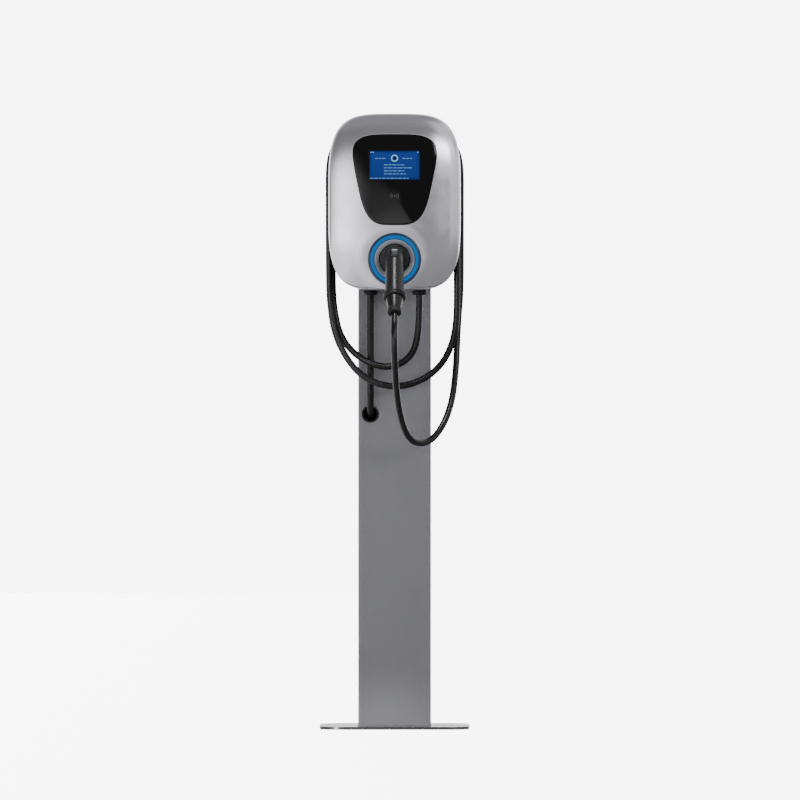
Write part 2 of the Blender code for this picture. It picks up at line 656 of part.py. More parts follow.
def connector_head():
    tip, neck = -NOSE_DEPTH, -0.0090
    shell = [(NOSE_RADIUS - NOSE_WALL, tip), (NOSE_RADIUS - NOSE_WALL, -0.0140),
             (0, -0.0140), (0, -0.0030), (FLANGE_RADIUS, -0.0030), (FLANGE_RADIUS, neck),
             (NOSE_RADIUS, neck), (NOSE_RADIUS, tip)]
    shell = shell[3:] + shell[:3]
    place(turned("connector_shell", shell, RING_CENTRE, OUT, 32), HANDLE_BLACK)
    carrier = rod("pin_carrier", RING_CENTRE + (tip + 0.006) * OUT,
                  RING_CENTRE - (0.0140 + GAP) * OUT, NOSE_RADIUS - NOSE_WALL - GAP, sides=32)
    for i, (x, up) in enumerate(pin_places()):
        spot = RING_CENTRE + Vector((x, 0, 0)) + up * UP
        hole = rod(f"pin_hole_{i}", spot + tip * OUT, spot - 0.026 * OUT, 0.0032, sides=8)
        boolean(carrier, as_cutter(hole))
    place(carrier, COPPER)


def pin_places():
    """One contact in the middle, four round it and two above."""
    around = [(0.0125 * math.cos(t), 0.0125 * math.sin(t))
              for t in map(math.radians, (0, 180, 235, 305))]
    return [(0, 0), *around, (-0.0065, 0.0125), (0.0065, 0.0125)]


def connector_grip():
    points, centre = handle_path()
    grow = HANDLE_END_RADIUS / HANDLE_RADIUS
    radii = [1 + (grow - 1) * max(0, (i - 8) / (len(points) - 9)) for i in range(len(points))]
    handle = to_mesh(tube("connector_handle", points, HANDLE_RADIUS, 3, radii))
    handle.data.shade_smooth()
    normal = Vector((0, -math.sin(BUTTON_ANGLE), math.cos(BUTTON_ANGLE)))
    along = Vector((0, -math.cos(BUTTON_ANGLE), -math.sin(BUTTON_ANGLE)))
    surface = centre + (HANDLE_BEND + HANDLE_RADIUS) * normal
    frame = Matrix((Vector((1, 0, 0)), along, normal)).transposed().to_4x4()
    frame.translation = surface
    pocket = box("button_pocket", (-BUTTON_WIDTH / 2 - 0.0004, -BUTTON_LENGTH / 2 - 0.0004, -0.0100),
                 (BUTTON_WIDTH / 2 + 0.0004, BUTTON_LENGTH / 2 + 0.0004, 0.010))
    pocket.matrix_world = frame
    boolean(handle, as_cutter(pocket))
    place(handle, HANDLE_BLACK)
    button = box("thumb_button", (-BUTTON_WIDTH / 2, -BUTTON_LENGTH / 2, -0.0068),
                 (BUTTON_WIDTH / 2, BUTTON_LENGTH / 2, 0.0012), 0.0008)
    button.matrix_world = frame
    place(button, BLACK)


def connector_tail():
    down = handle_down()
    end = handle_path()[0][-1] + GAP * down
    nut = [(0, 0), (0.0205, 0), (NUT_RADIUS, -0.0020), (NUT_RADIUS, -0.0050), (0.0212, -0.0062),
           (NUT_RADIUS, -0.0074), (NUT_RADIUS, -0.0105), (0.0200, -NUT_LENGTH), (0, -NUT_LENGTH)]
    place(turned("connector_cap_nut", nut, end, -down, 24), HANDLE_BLACK)
    end = end + (NUT_LENGTH + GAP) * down
    place(rod("strain_cone", end, end + CONE_LENGTH * down, 0.0178, 0.0130, 28), RUBBER)
    end = end + (CONE_LENGTH + GAP) * down
    bore = CABLE_RADIUS + 0.0010
    collar = [(bore, 0), (0.0128, 0), (COLLAR_RADIUS, -0.002), (COLLAR_RADIUS, 0.002 - COLLAR_LENGTH),
              (0.0125, -COLLAR_LENGTH), (bore, -COLLAR_LENGTH)]
    place(turned("cable_collar", collar, end, -down, 28), RUBBER)
    return end


def charging_lead(collar_top):
    """The lead in two tubes that meet, with a gap, halfway along one straight step."""
    down = handle_down()
    last = [tuple(p / MM) for p in (collar_top + 0.013 * down, collar_top + GAP * down)]
    lead = smooth_points(CHARGE_ROUTE + DROP_ROUTE[1:] + last, 0.034)
    lowest = Vector(CHARGE_ROUTE[-1]) * MM
    k = min(range(len(lead) - 1), key=lambda i: ((lead[i] + lead[i + 1]) / 2 - lowest).length)
    meeting = (lead[k] + lead[k + 1]) / 2
    step = (lead[k + 1] - lead[k]).normalized()
    root = lead[:k + 1] + [meeting - GAP / 2 * step]
    drop = [meeting + GAP / 2 * step] + lead[k + 1:]
    place(tube("charge_cable", root, CABLE_RADIUS), RUBBER)
    place(tube("charge_cable_drop", drop, CABLE_RADIUS), RUBBER)


def main():
    base_plate()
    post_column()
    post_top_cap()
    foot()
    access_panel()
    junction_box()
    supply_grommet()
    supply_cable()
    head_mount()
    rear_housing()
    seal_and_frame()
    front_cover()
    display()
    holster()
    electronics()
    gland("supply", SUPPLY_GLAND, SUPPLY_RADIUS + 0.0004)
    gland("charge", CHARGE_GLAND, CABLE_RADIUS + 0.0004)
    connector_head()
    connector_grip()
    charging_lead(connector_tail())


main()
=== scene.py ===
"""Looks for the charging post: fine surfaces, procedural materials, cables, light and camera.

Metres, in the frame of the CAD model: +Z up, front faces -Y. Pieces take their places from
the CAD boxes and from the driving dimensions below, most of which are the CAD model's own.
"""

import contextlib
import math

import bmesh
import bpy
from mathutils import Matrix, Vector


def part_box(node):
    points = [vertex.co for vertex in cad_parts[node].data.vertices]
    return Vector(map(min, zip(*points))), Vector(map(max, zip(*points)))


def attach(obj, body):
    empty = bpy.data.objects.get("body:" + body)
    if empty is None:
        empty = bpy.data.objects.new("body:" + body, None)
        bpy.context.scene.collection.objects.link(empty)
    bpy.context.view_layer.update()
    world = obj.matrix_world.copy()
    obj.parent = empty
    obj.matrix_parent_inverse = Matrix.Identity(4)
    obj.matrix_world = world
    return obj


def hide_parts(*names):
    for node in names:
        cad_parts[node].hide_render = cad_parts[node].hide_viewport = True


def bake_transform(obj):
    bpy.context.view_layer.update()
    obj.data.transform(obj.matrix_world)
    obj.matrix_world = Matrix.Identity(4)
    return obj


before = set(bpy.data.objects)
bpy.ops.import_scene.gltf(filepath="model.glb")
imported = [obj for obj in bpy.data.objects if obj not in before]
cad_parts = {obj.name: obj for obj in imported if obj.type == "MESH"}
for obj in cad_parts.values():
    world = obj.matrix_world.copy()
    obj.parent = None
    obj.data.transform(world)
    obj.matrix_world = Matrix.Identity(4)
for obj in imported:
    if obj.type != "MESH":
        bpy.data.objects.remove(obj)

MM = 0.001
WELD = 1e-6              # how close two points are made one
SHARP_ANGLE, FLAT_ANGLE = math.radians(35), math.radians(0.5)
GAP = 0.0003             # between neighbouring parts
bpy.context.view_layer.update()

# Head surface: half-widths, heights and powers of its superellipse outline
HEAD_Z = 1.085
HEAD_HALF_X, HEAD_UP, HEAD_DOWN = 0.1352, 0.177, 0.185
HEAD_UP_POWER, HEAD_DOWN_POWER = 3.9, 4.1
COVER_BACK, COVER_SIDE, COVER_WALL = -0.1263, -0.160, 0.003
CROWN, EDGE_ROUND = 0.014, 0.026
DRUM_HALF_X, DRUM_LOW, DRUM_HIGH = 0.1198, 0.906, 1.212
DRUM_LOW_CORNER, DRUM_HIGH_CORNER = 0.060, 0.074

# Display
GLASS_Z, GLASS_HALF_Z = 1.1262, 0.0925
GLASS_HALF_X, GLASS_TAPER, GLASS_POWER = 0.078, 0.019, 3.8
GLASS_RECESS, GLASS_DEPTH = 0.0006, 0.0024
LCD_HALF_X, LCD_LOW, LCD_HIGH = 0.0515, 1.1260, 1.1848
ICON_Z, READER_Z = 1.1697, 1.0930

# Holster axis, ring and connector
RING_CENTRE = Vector((0, -0.1938, 0.963))
RING_TILT = math.radians(5)
RING_RADIUS, RING_INNER, RING_BLEND = 0.0535, 0.0413, 0.030
MOUTH_RADIUS, LIP_DROP = RING_RADIUS + 0.0012, 0.0013
OUT = Vector((0, -math.cos(RING_TILT), -math.sin(RING_TILT)))
UP = Vector((0, -math.sin(RING_TILT), math.cos(RING_TILT)))
SIDEWAYS = Vector((1, 0, 0))
CUP_INNER, CUP_OUTER, CUP_DEPTH = 0.0312, 0.0337, 0.068
NOSE_RADIUS, NOSE_WALL, NOSE_DEPTH = 0.027, 0.0025, 0.052
FLANGE_RADIUS = 0.0304
HANDLE_RISE, HANDLE_RADIUS, HANDLE_END_RADIUS = 0.008, 0.0182, 0.0195
HANDLE_LEAD, HANDLE_BEND, HANDLE_LENGTH = 0.016, 0.045, 0.0756
HANDLE_SLOPE = math.radians(53.1)
NUT_RADIUS, NUT_LENGTH = 0.0225, 0.0125
CONE_LENGTH, COLLAR_LENGTH, COLLAR_RADIUS = 0.025, 0.012, 0.014
BUTTON_ANGLE = math.radians(35)
BUTTON_LENGTH, BUTTON_WIDTH = 0.024, 0.014
RIBS, RIB_SPACING, RIB_TILT = 5, 0.0042, math.radians(20)
DOWN = Vector((0, -math.cos(HANDLE_SLOPE), -math.sin(HANDLE_SLOPE)))

# Cables and glands
CABLE_RADIUS, SUPPLY_RADIUS = 0.00675, 0.0073
CHARGE_GLAND = Vector((0.051, -0.106, DRUM_LOW))
SUPPLY_GLAND = Vector((-0.050, -0.086, DRUM_LOW))
GROMMET_Z, GROMMET_RADIUS, SUPPLY_BEND = 0.647, 0.0175, 0.060
GLAND_DROP = 0.0145
POST_FRONT = -0.060
BACK_LANE, FRONT_LANE = -90, -108

# The charging lead's route in millimetres, from the right gland to the lowest point of
# its last loop, and then up to the connector.
CHARGE_ROUTE = [
    (51, -106, 915), (51, -106, 890), (50.5, -106, 862), (48, -106, 815), (39.5, -106, 780),
    (24, -106, 759), (4, -106, 748), (-18, -106, 744.5), (-42, -106, 749), (-66, -104, 760),
    (-86, -101, 776), (-102, -98, 795), (-113.5, -95, 819), (-121, -92, 850), (-125.6, -90.5, 886),
    (-127, BACK_LANE, 930), (-127, BACK_LANE, 1000), (-127, BACK_LANE, 1080),
    (-127, BACK_LANE, 1150), (-121.5, BACK_LANE, 1182), (-108.5, -90, 1201.5),
    (-89, -90.5, 1214), (-64, -91.5, 1219.3), (-32, -94, 1219.3), (0, -99, 1219.3),
    (32, -104, 1219.3), (64, -106.5, 1219.3), (89, -107.5, 1214), (108.8, -108, 1201.5),
    (122, FRONT_LANE, 1182), (127.6, FRONT_LANE, 1150), (127.9, FRONT_LANE, 1080),
    (127.9, FRONT_LANE, 1000), (127.9, FRONT_LANE, 925), (127.5, -108, 862), (124.8, -109, 826),
    (119.5, -110, 799), (111.5, -111, 777), (101, -112, 757.5), (87.5, -113, 741),
    (71.5, -114, 727), (53, -115, 716.5), (33, -116, 709), (15, -116, 705.3), (-3, -116, 704.4),
    (-21, -116, 706.5), (-42, -115.5, 712.7), (-60, -115, 722), (-78, -114, 737),
    (-93.5, -113, 756), (-106.5, -112, 777.5), (-117.5, -111, 801.5), (-125.5, -110, 829),
    (-130.3, -109, 860), (-133.2, -108, 892), (-134.2, FRONT_LANE, 930),
    (-134.7, FRONT_LANE, 1000), (-134.7, FRONT_LANE, 1080), (-134.4, FRONT_LANE, 1145),
    (-128.5, FRONT_LANE, 1182), (-113.5, -108, 1206), (-92, -107.5, 1222), (-64, -106.5, 1229.3),
    (-32, -103.5, 1232.8), (0, -99, 1233.8), (32, -94.5, 1232.8), (64, -91.5, 1229.3),
    (92, -90.5, 1222), (114, -90, 1206), (129.3, BACK_LANE, 1182), (135.3, BACK_LANE, 1145),
    (135.8, BACK_LANE, 1080), (135.8, BACK_LANE, 1000), (135.6, BACK_LANE, 930),
    (134.2, BACK_LANE, 885), (131.4, BACK_LANE, 848), (129.3, -91, 812), (127.9, -94, 780),
    (126.2, -99, 748), (123.4, -106, 717), (118.8, -116, 684), (112, -127, 657),
    (103, -139, 633.5), (91, -154, 612.5), (76, -171, 596), (58, -190, 588),
]
DROP_ROUTE = [
    (58, -190, 588), (41, -210, 591), (28.5, -229, 602), (20, -248, 618), (13.5, -266, 638),
    (8.5, -284, 661), (5, -301, 687), (2.2, -316, 716), (0.8, -326, 745), (-0.2, -331.5, 775),
    (-0.6, -333, 803), (-0.3, -328, 830),
]


# ---- mesh tools

def link(obj):
    bpy.context.scene.collection.objects.link(obj)
    return obj


def around(count):
    """Evenly spaced angles round a full turn."""
    return [2 * math.pi * i / count for i in range(count)]


def smooth(mesh):
    mesh.shade_smooth()
    mesh.set_sharp_from_angle(angle=SHARP_ANGLE)


@contextlib.contextmanager
def edited(mesh):
    """The mesh opened for an edit, and then written back."""
    bm = bmesh.new()
    bm.from_mesh(mesh)
    yield bm
    bm.to_mesh(mesh)
    bm.free()


def mesh_object(name, verts, faces):
    data = bpy.data.meshes.new(name)
    data.from_pydata([tuple(v) for v in verts], [], faces)
    with edited(data) as bm:
        bmesh.ops.remove_doubles(bm, verts=bm.verts, dist=WELD)
        bmesh.ops.recalc_face_normals(bm, faces=bm.faces)
    smooth(data)
    return link(bpy.data.objects.new(name, data))


def loft(name, rings, caps=True, closed_ends=False):
    """Joins equal closed rings of points. caps closes both ends; closed_ends joins last to first."""
    count = len(rings[0])
    verts = [p for ring in rings for p in ring]
    faces = []
    pairs = list(zip(range(len(rings)), range(1, len(rings))))
    if closed_ends:
        pairs.append((len(rings) - 1, 0))
    for a, b in pairs:
        for i in range(count):
            j = (i + 1) % count
            faces.append((a * count + i, a * count + j, b * count + j, b * count + i))
    if caps and not closed_ends:
        faces.append(tuple(range(count - 1, -1, -1)))
        faces.append(tuple((len(rings) - 1) * count + i for i in range(count)))
    return mesh_object(name, verts, faces)


def lathe(name, profile, origin, axis, steps=96, rounding=0.0, round_by=None):
    """Turns a (radius, height) outline about an axis that has no X part. Heights run along it."""
    axis = Vector(axis).normalized()
    across = axis.cross(SIDEWAYS).normalized()
    side = across.cross(axis)
    rings = []
    for r, h in rounded_profile(profile, rounding) if rounding else profile:
        ring = []
        for t in around(steps):
            reach = r * (round_by(t, h) if round_by else 1)
            ring.append(origin + axis * h + side * reach * math.cos(t) + across * reach * math.sin(t))
        rings.append(ring)
    hollow = profile[0][0] > 0 and profile[-1][0] > 0
    return loft(name, rings, caps=False, closed_ends=hollow)


def rounded_profile(points, radius, steps=4):
    """Rounds the inner corners of a (radius, height) outline."""
    made = [points[0]]
    for a, b, c in zip(points, points[1:], points[2:]):
        a2, b2, c2 = Vector(a), Vector(b), Vector(c)
        cut = min(radius, 0.45 * (a2 - b2).length, 0.45 * (c2 - b2).length)
        p = b2 + (a2 - b2).normalized() * cut
        q = b2 + (c2 - b2).normalized() * cut
        for i in range(steps + 1):
            t = i / steps
            made.append(tuple(p * (1 - t) ** 2 + b2 * 2 * t * (1 - t) + q * t * t))
    return made + [points[-1]]


def smooth_points(route, spacing, fineness=16):
    """Points at an even spacing on the smooth curve through a route in millimetres."""
    knots = [Vector(p) * MM for p in route]
    knots = [2 * knots[0] - knots[1]] + knots + [2 * knots[-1] - knots[-2]]
    fine = []
    for a, b, c, d in zip(knots, knots[1:], knots[2:], knots[3:]):
        for t in (i / fineness for i in range(fineness)):
            fine.append(
                0.5 * (2 * b + (c - a) * t + (2 * a - 5 * b + 4 * c - d) * t**2
                       + (3 * b - a - 3 * c + d) * t**3)
            )
    fine.append(knots[-2])
    lengths = [0.0]
    for a, b in zip(fine, fine[1:]):
        lengths.append(lengths[-1] + (b - a).length)
    count = max(2, round(lengths[-1] / spacing))
    points, j = [], 0
    for i in range(count + 1):
        wanted = lengths[-1] * i / count
        while j < len(fine) - 2 and lengths[j + 1] < wanted:
            j += 1
        share = (wanted - lengths[j]) / (lengths[j + 1] - lengths[j])
        points.append(fine[j].lerp(fine[j + 1], share))
    return points


def sweep(name, path, radius, sides):
    """A tube along a path. radius is a number or one per point."""
    radii = radius if isinstance(radius, list) else [radius] * len(path)
    side = SIDEWAYS
    rings = []
    for i, (p, r) in enumerate(zip(path, radii)):
        along = (path[min(i + 1, len(path) - 1)] - path[max(i - 1, 0)]).normalized()
        side = (side - along * side.dot(along)).normalized()
        across = along.cross(side)
        rings.append([p + side * r * math.cos(a) + across * r * math.sin(a) for a in around(sides)])
    return loft(name, rings)


def evaluated_mesh(obj):
    bpy.context.view_layer.update()
    graph = bpy.context.evaluated_depsgraph_get()
    return bpy.data.meshes.new_from_object(obj.evaluated_get(graph))


def slab(name, loops, low, high, upright=True, bevel=0.0):
    """Flat loops with thickness and rounded edges: (x, z) between two y, or (x, y) between two z."""
    data = bpy.data.curves.new(name + "_outline", "CURVE")
    data.dimensions = "2D"
    data.fill_mode = "BOTH"
    data.extrude = abs(high - low) / 2
    for loop in loops:
        spline = data.splines.new("POLY")
        spline.points.add(len(loop) - 1)
        for point, (u, v) in zip(spline.points, loop):
            point.co = (u, v, 0, 1)
        spline.use_cyclic_u = True
    curve = link(bpy.data.objects.new(name + "_outline", data))
    mesh = evaluated_mesh(curve)
    bpy.data.objects.remove(curve)
    middle = (low + high) / 2
    place = Matrix.Translation((0, 0, middle))
    if upright:
        place = Matrix.Translation((0, middle, 0)) @ Matrix.Rotation(math.pi / 2, 4, "X")
    with edited(mesh) as bm:
        bmesh.ops.remove_doubles(bm, verts=bm.verts, dist=WELD)
        bmesh.ops.dissolve_limit(bm, angle_limit=FLAT_ANGLE, verts=bm.verts, edges=bm.edges)
        bm.transform(place)
    obj = link(bpy.data.objects.new(name, mesh))
    return soften(obj, bevel) if bevel else obj


def soften(obj, width, angle=40):
    """Rounded edges where faces meet at more than the angle."""
    obj.data.shade_smooth()
    bevel = obj.modifiers.new("edges", "BEVEL")
    bevel.width = width
    bevel.segments = 3
    bevel.limit_method = "ANGLE"
    bevel.angle_limit = math.radians(angle)
    bevel.harden_normals = True
    return obj


def apply_modifiers(obj):
    mesh = evaluated_mesh(obj)
    obj.modifiers.clear()
    obj.data = mesh
    return obj


def cut(obj, *cutters, solver="EXACT"):
    """Cuts shapes out of an object, then removes them."""
    for cutter in cutters:
        modifier = obj.modifiers.new("cut", "BOOLEAN")
        modifier.object = cutter
        modifier.solver = solver
    apply_modifiers(obj)
    for cutter in cutters:
        bpy.data.objects.remove(cutter)
    smooth(obj.data)


def circle(u, v, radius, sides=64):
    return [(u + radius * math.cos(t), v + radius * math.sin(t)) for t in around(sides)]


def rounded(half_width, low, high, low_corner, high_corner, steps=12):
    """A rectangle outline with round corners, centred on zero across."""
    corners = (
        (half_width - low_corner, low + low_corner, low_corner, -90),
        (half_width - high_corner, high - high_corner, high_corner, 0),
        (high_corner - half_width, high - high_corner, high_corner, 90),
        (low_corner - half_width, low + low_corner, low_corner, 180),
    )
    outline = []
    for u, v, radius, start in corners:
        for i in range(steps + 1):
            t = math.radians(start + 90 * i / steps)
            outline.append((u + radius * math.cos(t), v + radius * math.sin(t)))
    return outline


def block(name, low, high, bevel=0.001, turn=Matrix.Identity(4)):
    """A box with rounded edges, between two corners of a frame that may be turned."""
    low, high = Vector(low), Vector(high)
    size = Matrix.Diagonal((*(high - low), 1))
    data = bpy.data.meshes.new(name)
    with edited(data) as bm:
        bmesh.ops.create_cube(bm, size=1, matrix=Matrix.Translation((low + high) / 2) @ size)
        bm.transform(turn)
    return soften(link(bpy.data.objects.new(name, data)), bevel)


def rod(name, start, end, radius, sides=48):
    reach = (end - start).length
    return lathe(name, [(0, 0), (radius, 0), (radius, reach), (0, reach)], start, end - start, sides)


# ---- materials

class Tree:
    """Short calls for building a node tree."""

    def __init__(self, owner):
        owner.use_nodes = True
        self.tree = owner.node_tree

    def feed(self, socket, value):
        """Gives a socket a constant, or another node's output."""
        if isinstance(value, bpy.types.NodeSocket):
            self.tree.links.new(value, socket)
        else:
            socket.default_value = value

    def add(self, kind, inputs=(), **settings):
        node = self.tree.nodes.new("ShaderNode" + kind)
        for key, value in settings.items():
            setattr(node, key, value)
        for key, value in dict(inputs).items():
            self.feed(node.inputs[key], value)
        return node

    def maths(self, operation, *values):
        return self.add("Math", enumerate(values), operation=operation).outputs["Value"]

    def spread(self, value, low, high, from_low=0.3, from_high=0.7, curve="LINEAR"):
        """Carries a value from one range to another, and holds it at the ends."""
        inputs = {"Value": value, "From Min": from_low, "From Max": from_high, "To Min": low, "To Max": high}
        return self.add("MapRange", inputs, interpolation_type=curve).outputs["Result"]


class Nodes(Tree):
    """One material's node tree."""

    def __init__(self, name):
        self.material = bpy.data.materials.new(name)
        super().__init__(self.material)
        self.shader = self.tree.nodes["Principled BSDF"]

    def set(self, **values):
        """Feeds the shader's sockets, whose names have _ for a space here."""
        for key, value in values.items():
            self.feed(self.shader.inputs[key.replace("_", " ")], value)

    def position(self, scale=(1, 1, 1)):
        """Object coordinates, which are row-frame metres, stretched by a scale."""
        place = self.add("TexCoord").outputs["Object"]
        return self.add("Mapping", {"Vector": place, "Scale": scale}).outputs["Vector"]

    def noise(self, scale, detail=3.0, roughness=0.5, stretch=(1, 1, 1)):
        inputs = {"Vector": self.position(stretch), "Scale": scale, "Detail": detail, "Roughness": roughness}
        return self.add("TexNoise", inputs).outputs["Fac"]

    def mixed(self, factor, *colours):
        """A mix of two colours, or of two colour outputs."""
        a, b = [(*c, 1) if isinstance(c, tuple) else c for c in colours]
        return self.add("Mix", {"Factor": factor, 6: a, 7: b}, data_type="RGBA").outputs[2]

    def mottled(self, pattern, dark, light):
        """A colour that follows a pattern from dark to light."""
        return self.mixed(self.spread(pattern, 0, 1), dark, light)

    def bump(self, height, strength, distance=0.0002):
        node = self.add("Bump", {"Height": height, "Strength": strength, "Distance": distance})
        self.set(Normal=node.outputs["Normal"])


def paint(name, metallic, flakes, dark, light, drift, tone, gloss, roughness, relief, bump):
    """Paint with fine flecks between two colours that drift towards a third tone, and an uneven gloss."""
    n = Nodes(name)
    n.set(Metallic=metallic)
    base = n.mottled(n.noise(*flakes), dark, light)
    scale, detail, share = drift
    n.set(Base_Color=n.mixed(n.spread(n.noise(scale, detail), 0, share), base, tone))
    n.set(Roughness=n.spread(n.noise(gloss, 4.0), *roughness))
    n.bump(n.noise(*relief), *bump)
    return n.material


def stainless():
    """Steel brushed along X, with faint smudges."""
    n = Nodes("stainless")
    grain = n.noise(420, 3.0, 0.6, (0.03, 1, 1))
    smudge = n.noise(14, 4.0)
    roughness = n.maths("ADD", n.spread(grain, 0.16, 0.26), n.spread(smudge, 0.0, 0.08))
    n.set(Metallic=1.0, Anisotropic=0.5, Roughness=roughness,
          Base_Color=n.mottled(grain, (0.66, 0.66, 0.67), (0.74, 0.74, 0.75)))
    n.bump(grain, 0.05)
    return n.material


def grained(name, pattern, dark, light, roughness, relief=None, strength=0.0, **settings):
    """A surface whose colour and roughness follow one noise, and its relief that one or another."""
    n = Nodes(name)
    grain = n.noise(*pattern)
    n.set(Base_Color=n.mottled(grain, dark, light), Roughness=n.spread(grain, *roughness), **settings)
    if strength:
        n.bump(n.noise(*relief) if relief else grain, strength)
    return n.material


def moulded(name, colour, lighter, roughness, grain=1400, depth=0.18, coat=0.0, shine=0.25):
    """Moulded plastic with a fine spark-eroded grain and slight wear in its sheen."""
    n = Nodes(name)
    n.set(Coat_Weight=coat, Coat_Roughness=0.2, Specular_IOR_Level=shine)
    n.set(Base_Color=n.mottled(n.noise(40, 4.0), colour, lighter))
    n.set(Roughness=n.spread(n.noise(90, 4.0), roughness - 0.05, roughness + 0.06))
    n.bump(n.noise(grain, 2.0), depth)
    return n.material


def glowing(name, colour, strength, inner=None, reach=None):
    """A lit plastic. With inner and reach, its glow fades between two radii from the ring's axis."""
    n = Nodes(name)
    glow = (*colour, 1)
    if reach:
        glow = n.mixed(n.spread(ring_distance(n), 1, 0, *reach), inner, colour)
    n.set(Base_Color=(*[c * 0.2 for c in colour], 1), Roughness=0.25, Specular_IOR_Level=0.2,
          Emission_Color=glow, Emission_Strength=strength)
    return n.material


def ring_distance(n):
    """How far a point is from the holster's axis."""
    shift = n.add("VectorMath", {0: n.position(), 1: RING_CENTRE}, operation="SUBTRACT")
    across = n.add("VectorMath", {0: shift.outputs["Vector"], 1: OUT}, operation="CROSS_PRODUCT")
    return n.add("VectorMath", {0: across.outputs["Vector"]}, operation="LENGTH").outputs["Value"]


def circuit_board():
    n = Nodes("circuit_board")
    tracks = n.add("TexVoronoi", {"Vector": n.position(), "Scale": 260}, feature="DISTANCE_TO_EDGE")
    lines = n.spread(tracks.outputs["Distance"], 1, 0, 0.02, 0.06)
    n.set(Base_Color=n.mixed(lines, (0.015, 0.12, 0.05), (0.05, 0.26, 0.11)), Roughness=0.4,
          Coat_Weight=0.3)
    n.bump(lines, 0.3, 0.0001)
    return n.material


SILVER = paint("silver_paint", 1.0, (5200, 1.0), (0.65, 0.64, 0.70), (0.77, 0.76, 0.825), (9, 3.0, 0.25),
               (0.67, 0.66, 0.72), 60, (0.195, 0.225), (900, 2.0), (0.02, 0.0004))
POST_PAINT = paint("post_paint", 0.35, (3400, 2.0), (0.205, 0.203, 0.225), (0.275, 0.273, 0.300),
                   (3.5, 4.0, 0.35), (0.215, 0.214, 0.236), 25, (0.46, 0.56), (1500, 3.0), (0.22, 0.0003))
STAINLESS = stainless()
# The plate's laser-cut edge is coloured far darker than its brushed face: painted shade, standing in for the
# dark reflection along the edge.
STEEL_EDGE_PAINTED_DARK = grained("steel_edge_painted_dark", (900, 2.0, 0.5, (1, 1, 0.15)), (0.10, 0.10, 0.105), (0.17, 0.17, 0.175),
                    (0.22, 0.34), strength=0.15, Metallic=1.0)
ZINC = grained("zinc", (240, 2.0), (0.48, 0.49, 0.52), (0.66, 0.67, 0.69), (0.28, 0.45),
               strength=0.08, Metallic=1.0)
BLACK = moulded("black_plastic", (0.004, 0.004, 0.0045), (0.008, 0.008, 0.009), 0.42)
HANDLE = moulded("handle_plastic", (0.003, 0.003, 0.0033), (0.007, 0.007, 0.0075), 0.30, 1100, 0.03,
                 shine=0.38)
BEZEL = moulded("bezel_plastic", (0.44, 0.46, 0.51), (0.54, 0.56, 0.62), 0.3, 1600, 0.1, shine=0.5)
DEVICE = moulded("device_plastic", (0.42, 0.43, 0.43), (0.50, 0.51, 0.51), 0.5)
CARRIER = moulded("carrier_plastic", (0.04, 0.04, 0.045), (0.06, 0.06, 0.065), 0.5)
CABLE = grained("cable_rubber", (55, 5.0), (0.0015, 0.0015, 0.0018), (0.0045, 0.0045, 0.005),
                (0.23, 0.30), (700, 3.0), 0.03, Specular_IOR_Level=0.3)
RUBBER = grained("rubber", (70, 4.0), (0.004, 0.004, 0.0045), (0.010, 0.010, 0.011),
                 (0.5, 0.68), (1100, 2.0), 0.15, Specular_IOR_Level=0.25)
# Toughened glass, printed black from behind, with faint wiping marks in its gloss
GLASS = grained("black_glass", (30, 4.0, 0.6, (1, 1, 0.4)), (0.0010, 0.0010, 0.0011),
                (0.0018, 0.0018, 0.0020), (0.03, 0.06), Specular_IOR_Level=0.36)
BOARD = circuit_board()
BLUE_BAND = glowing("blue_band", (0.004, 0.12, 0.40), 0.9, (0.006, 0.16, 0.48), (0.0425, 0.0485))
BLUE_EDGE = moulded("blue_edge", (0.004, 0.035, 0.11), (0.006, 0.05, 0.15), 0.2, 900, 0.02, 0.6)


SLOTS = {
    SILVER.name: "silver_cover", POST_PAINT.name: "post_paint", STAINLESS.name: "stainless",
    ZINC.name: "zinc", BLACK.name: "black_plastic", HANDLE.name: "handle_plastic",
    BEZEL.name: "bezel", CARRIER.name: "pin_carrier", CABLE.name: "rubber", RUBBER.name: "rubber",
    GLASS.name: "display_glass", BLUE_BAND.name: "blue_ring", BLUE_EDGE.name: "blue_ring",
}


def finish_piece(obj, material, *nodes, body="post", slot=None):
    """Sets a piece's material and body, and hides the CAD nodes that it stands for; its slot is not used."""
    obj.data.materials.clear()
    obj.data.materials.append(material)
    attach(obj, body)
    slot or SLOTS[material.name]
    if nodes:
        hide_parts(*nodes)
    return obj


# ---- camera

def camera():
    """A long lens at the post's mid height, so that uprights stay parallel."""
    distance, height, offset = 20.0, 0.676, 0.0111
    seen_width, at_distance = 1.6390, distance - 0.13
    data = bpy.data.cameras.new("camera")
    data.sensor_width = 36
    data.lens = data.sensor_width * at_distance / seen_width
    data.clip_end = 200
    obj = link(bpy.data.objects.new("camera", data))
    obj.location = (offset, -distance, height)
    obj.rotation_euler = (math.pi / 2, 0, 0)
    bpy.context.scene.camera = obj


camera()


# ---- head surface

def head_half(upper):
    """Height and power of the head outline's upper or lower half."""
    return (HEAD_UP, HEAD_UP_POWER) if upper else (HEAD_DOWN, HEAD_DOWN_POWER)


def outline_norm(x, z):
    """0 at the head's middle and 1 on its outline, for a point seen from the front."""
    height, power = head_half(z >= HEAD_Z)
    return (abs(x / HEAD_HALF_X) ** power + abs((z - HEAD_Z) / height) ** power) ** (1 / power)


def dome_y(x, z, share=None):
    """The head's soft dome, before the holster's place in it."""
    share = outline_norm(x, z) if share is None else share
    rounding = EDGE_ROUND * max(0.0, 1 - min(share, 1) ** 10) ** (1 / 2.2)
    return COVER_SIDE - CROWN * (1 - share**2.2) - rounding


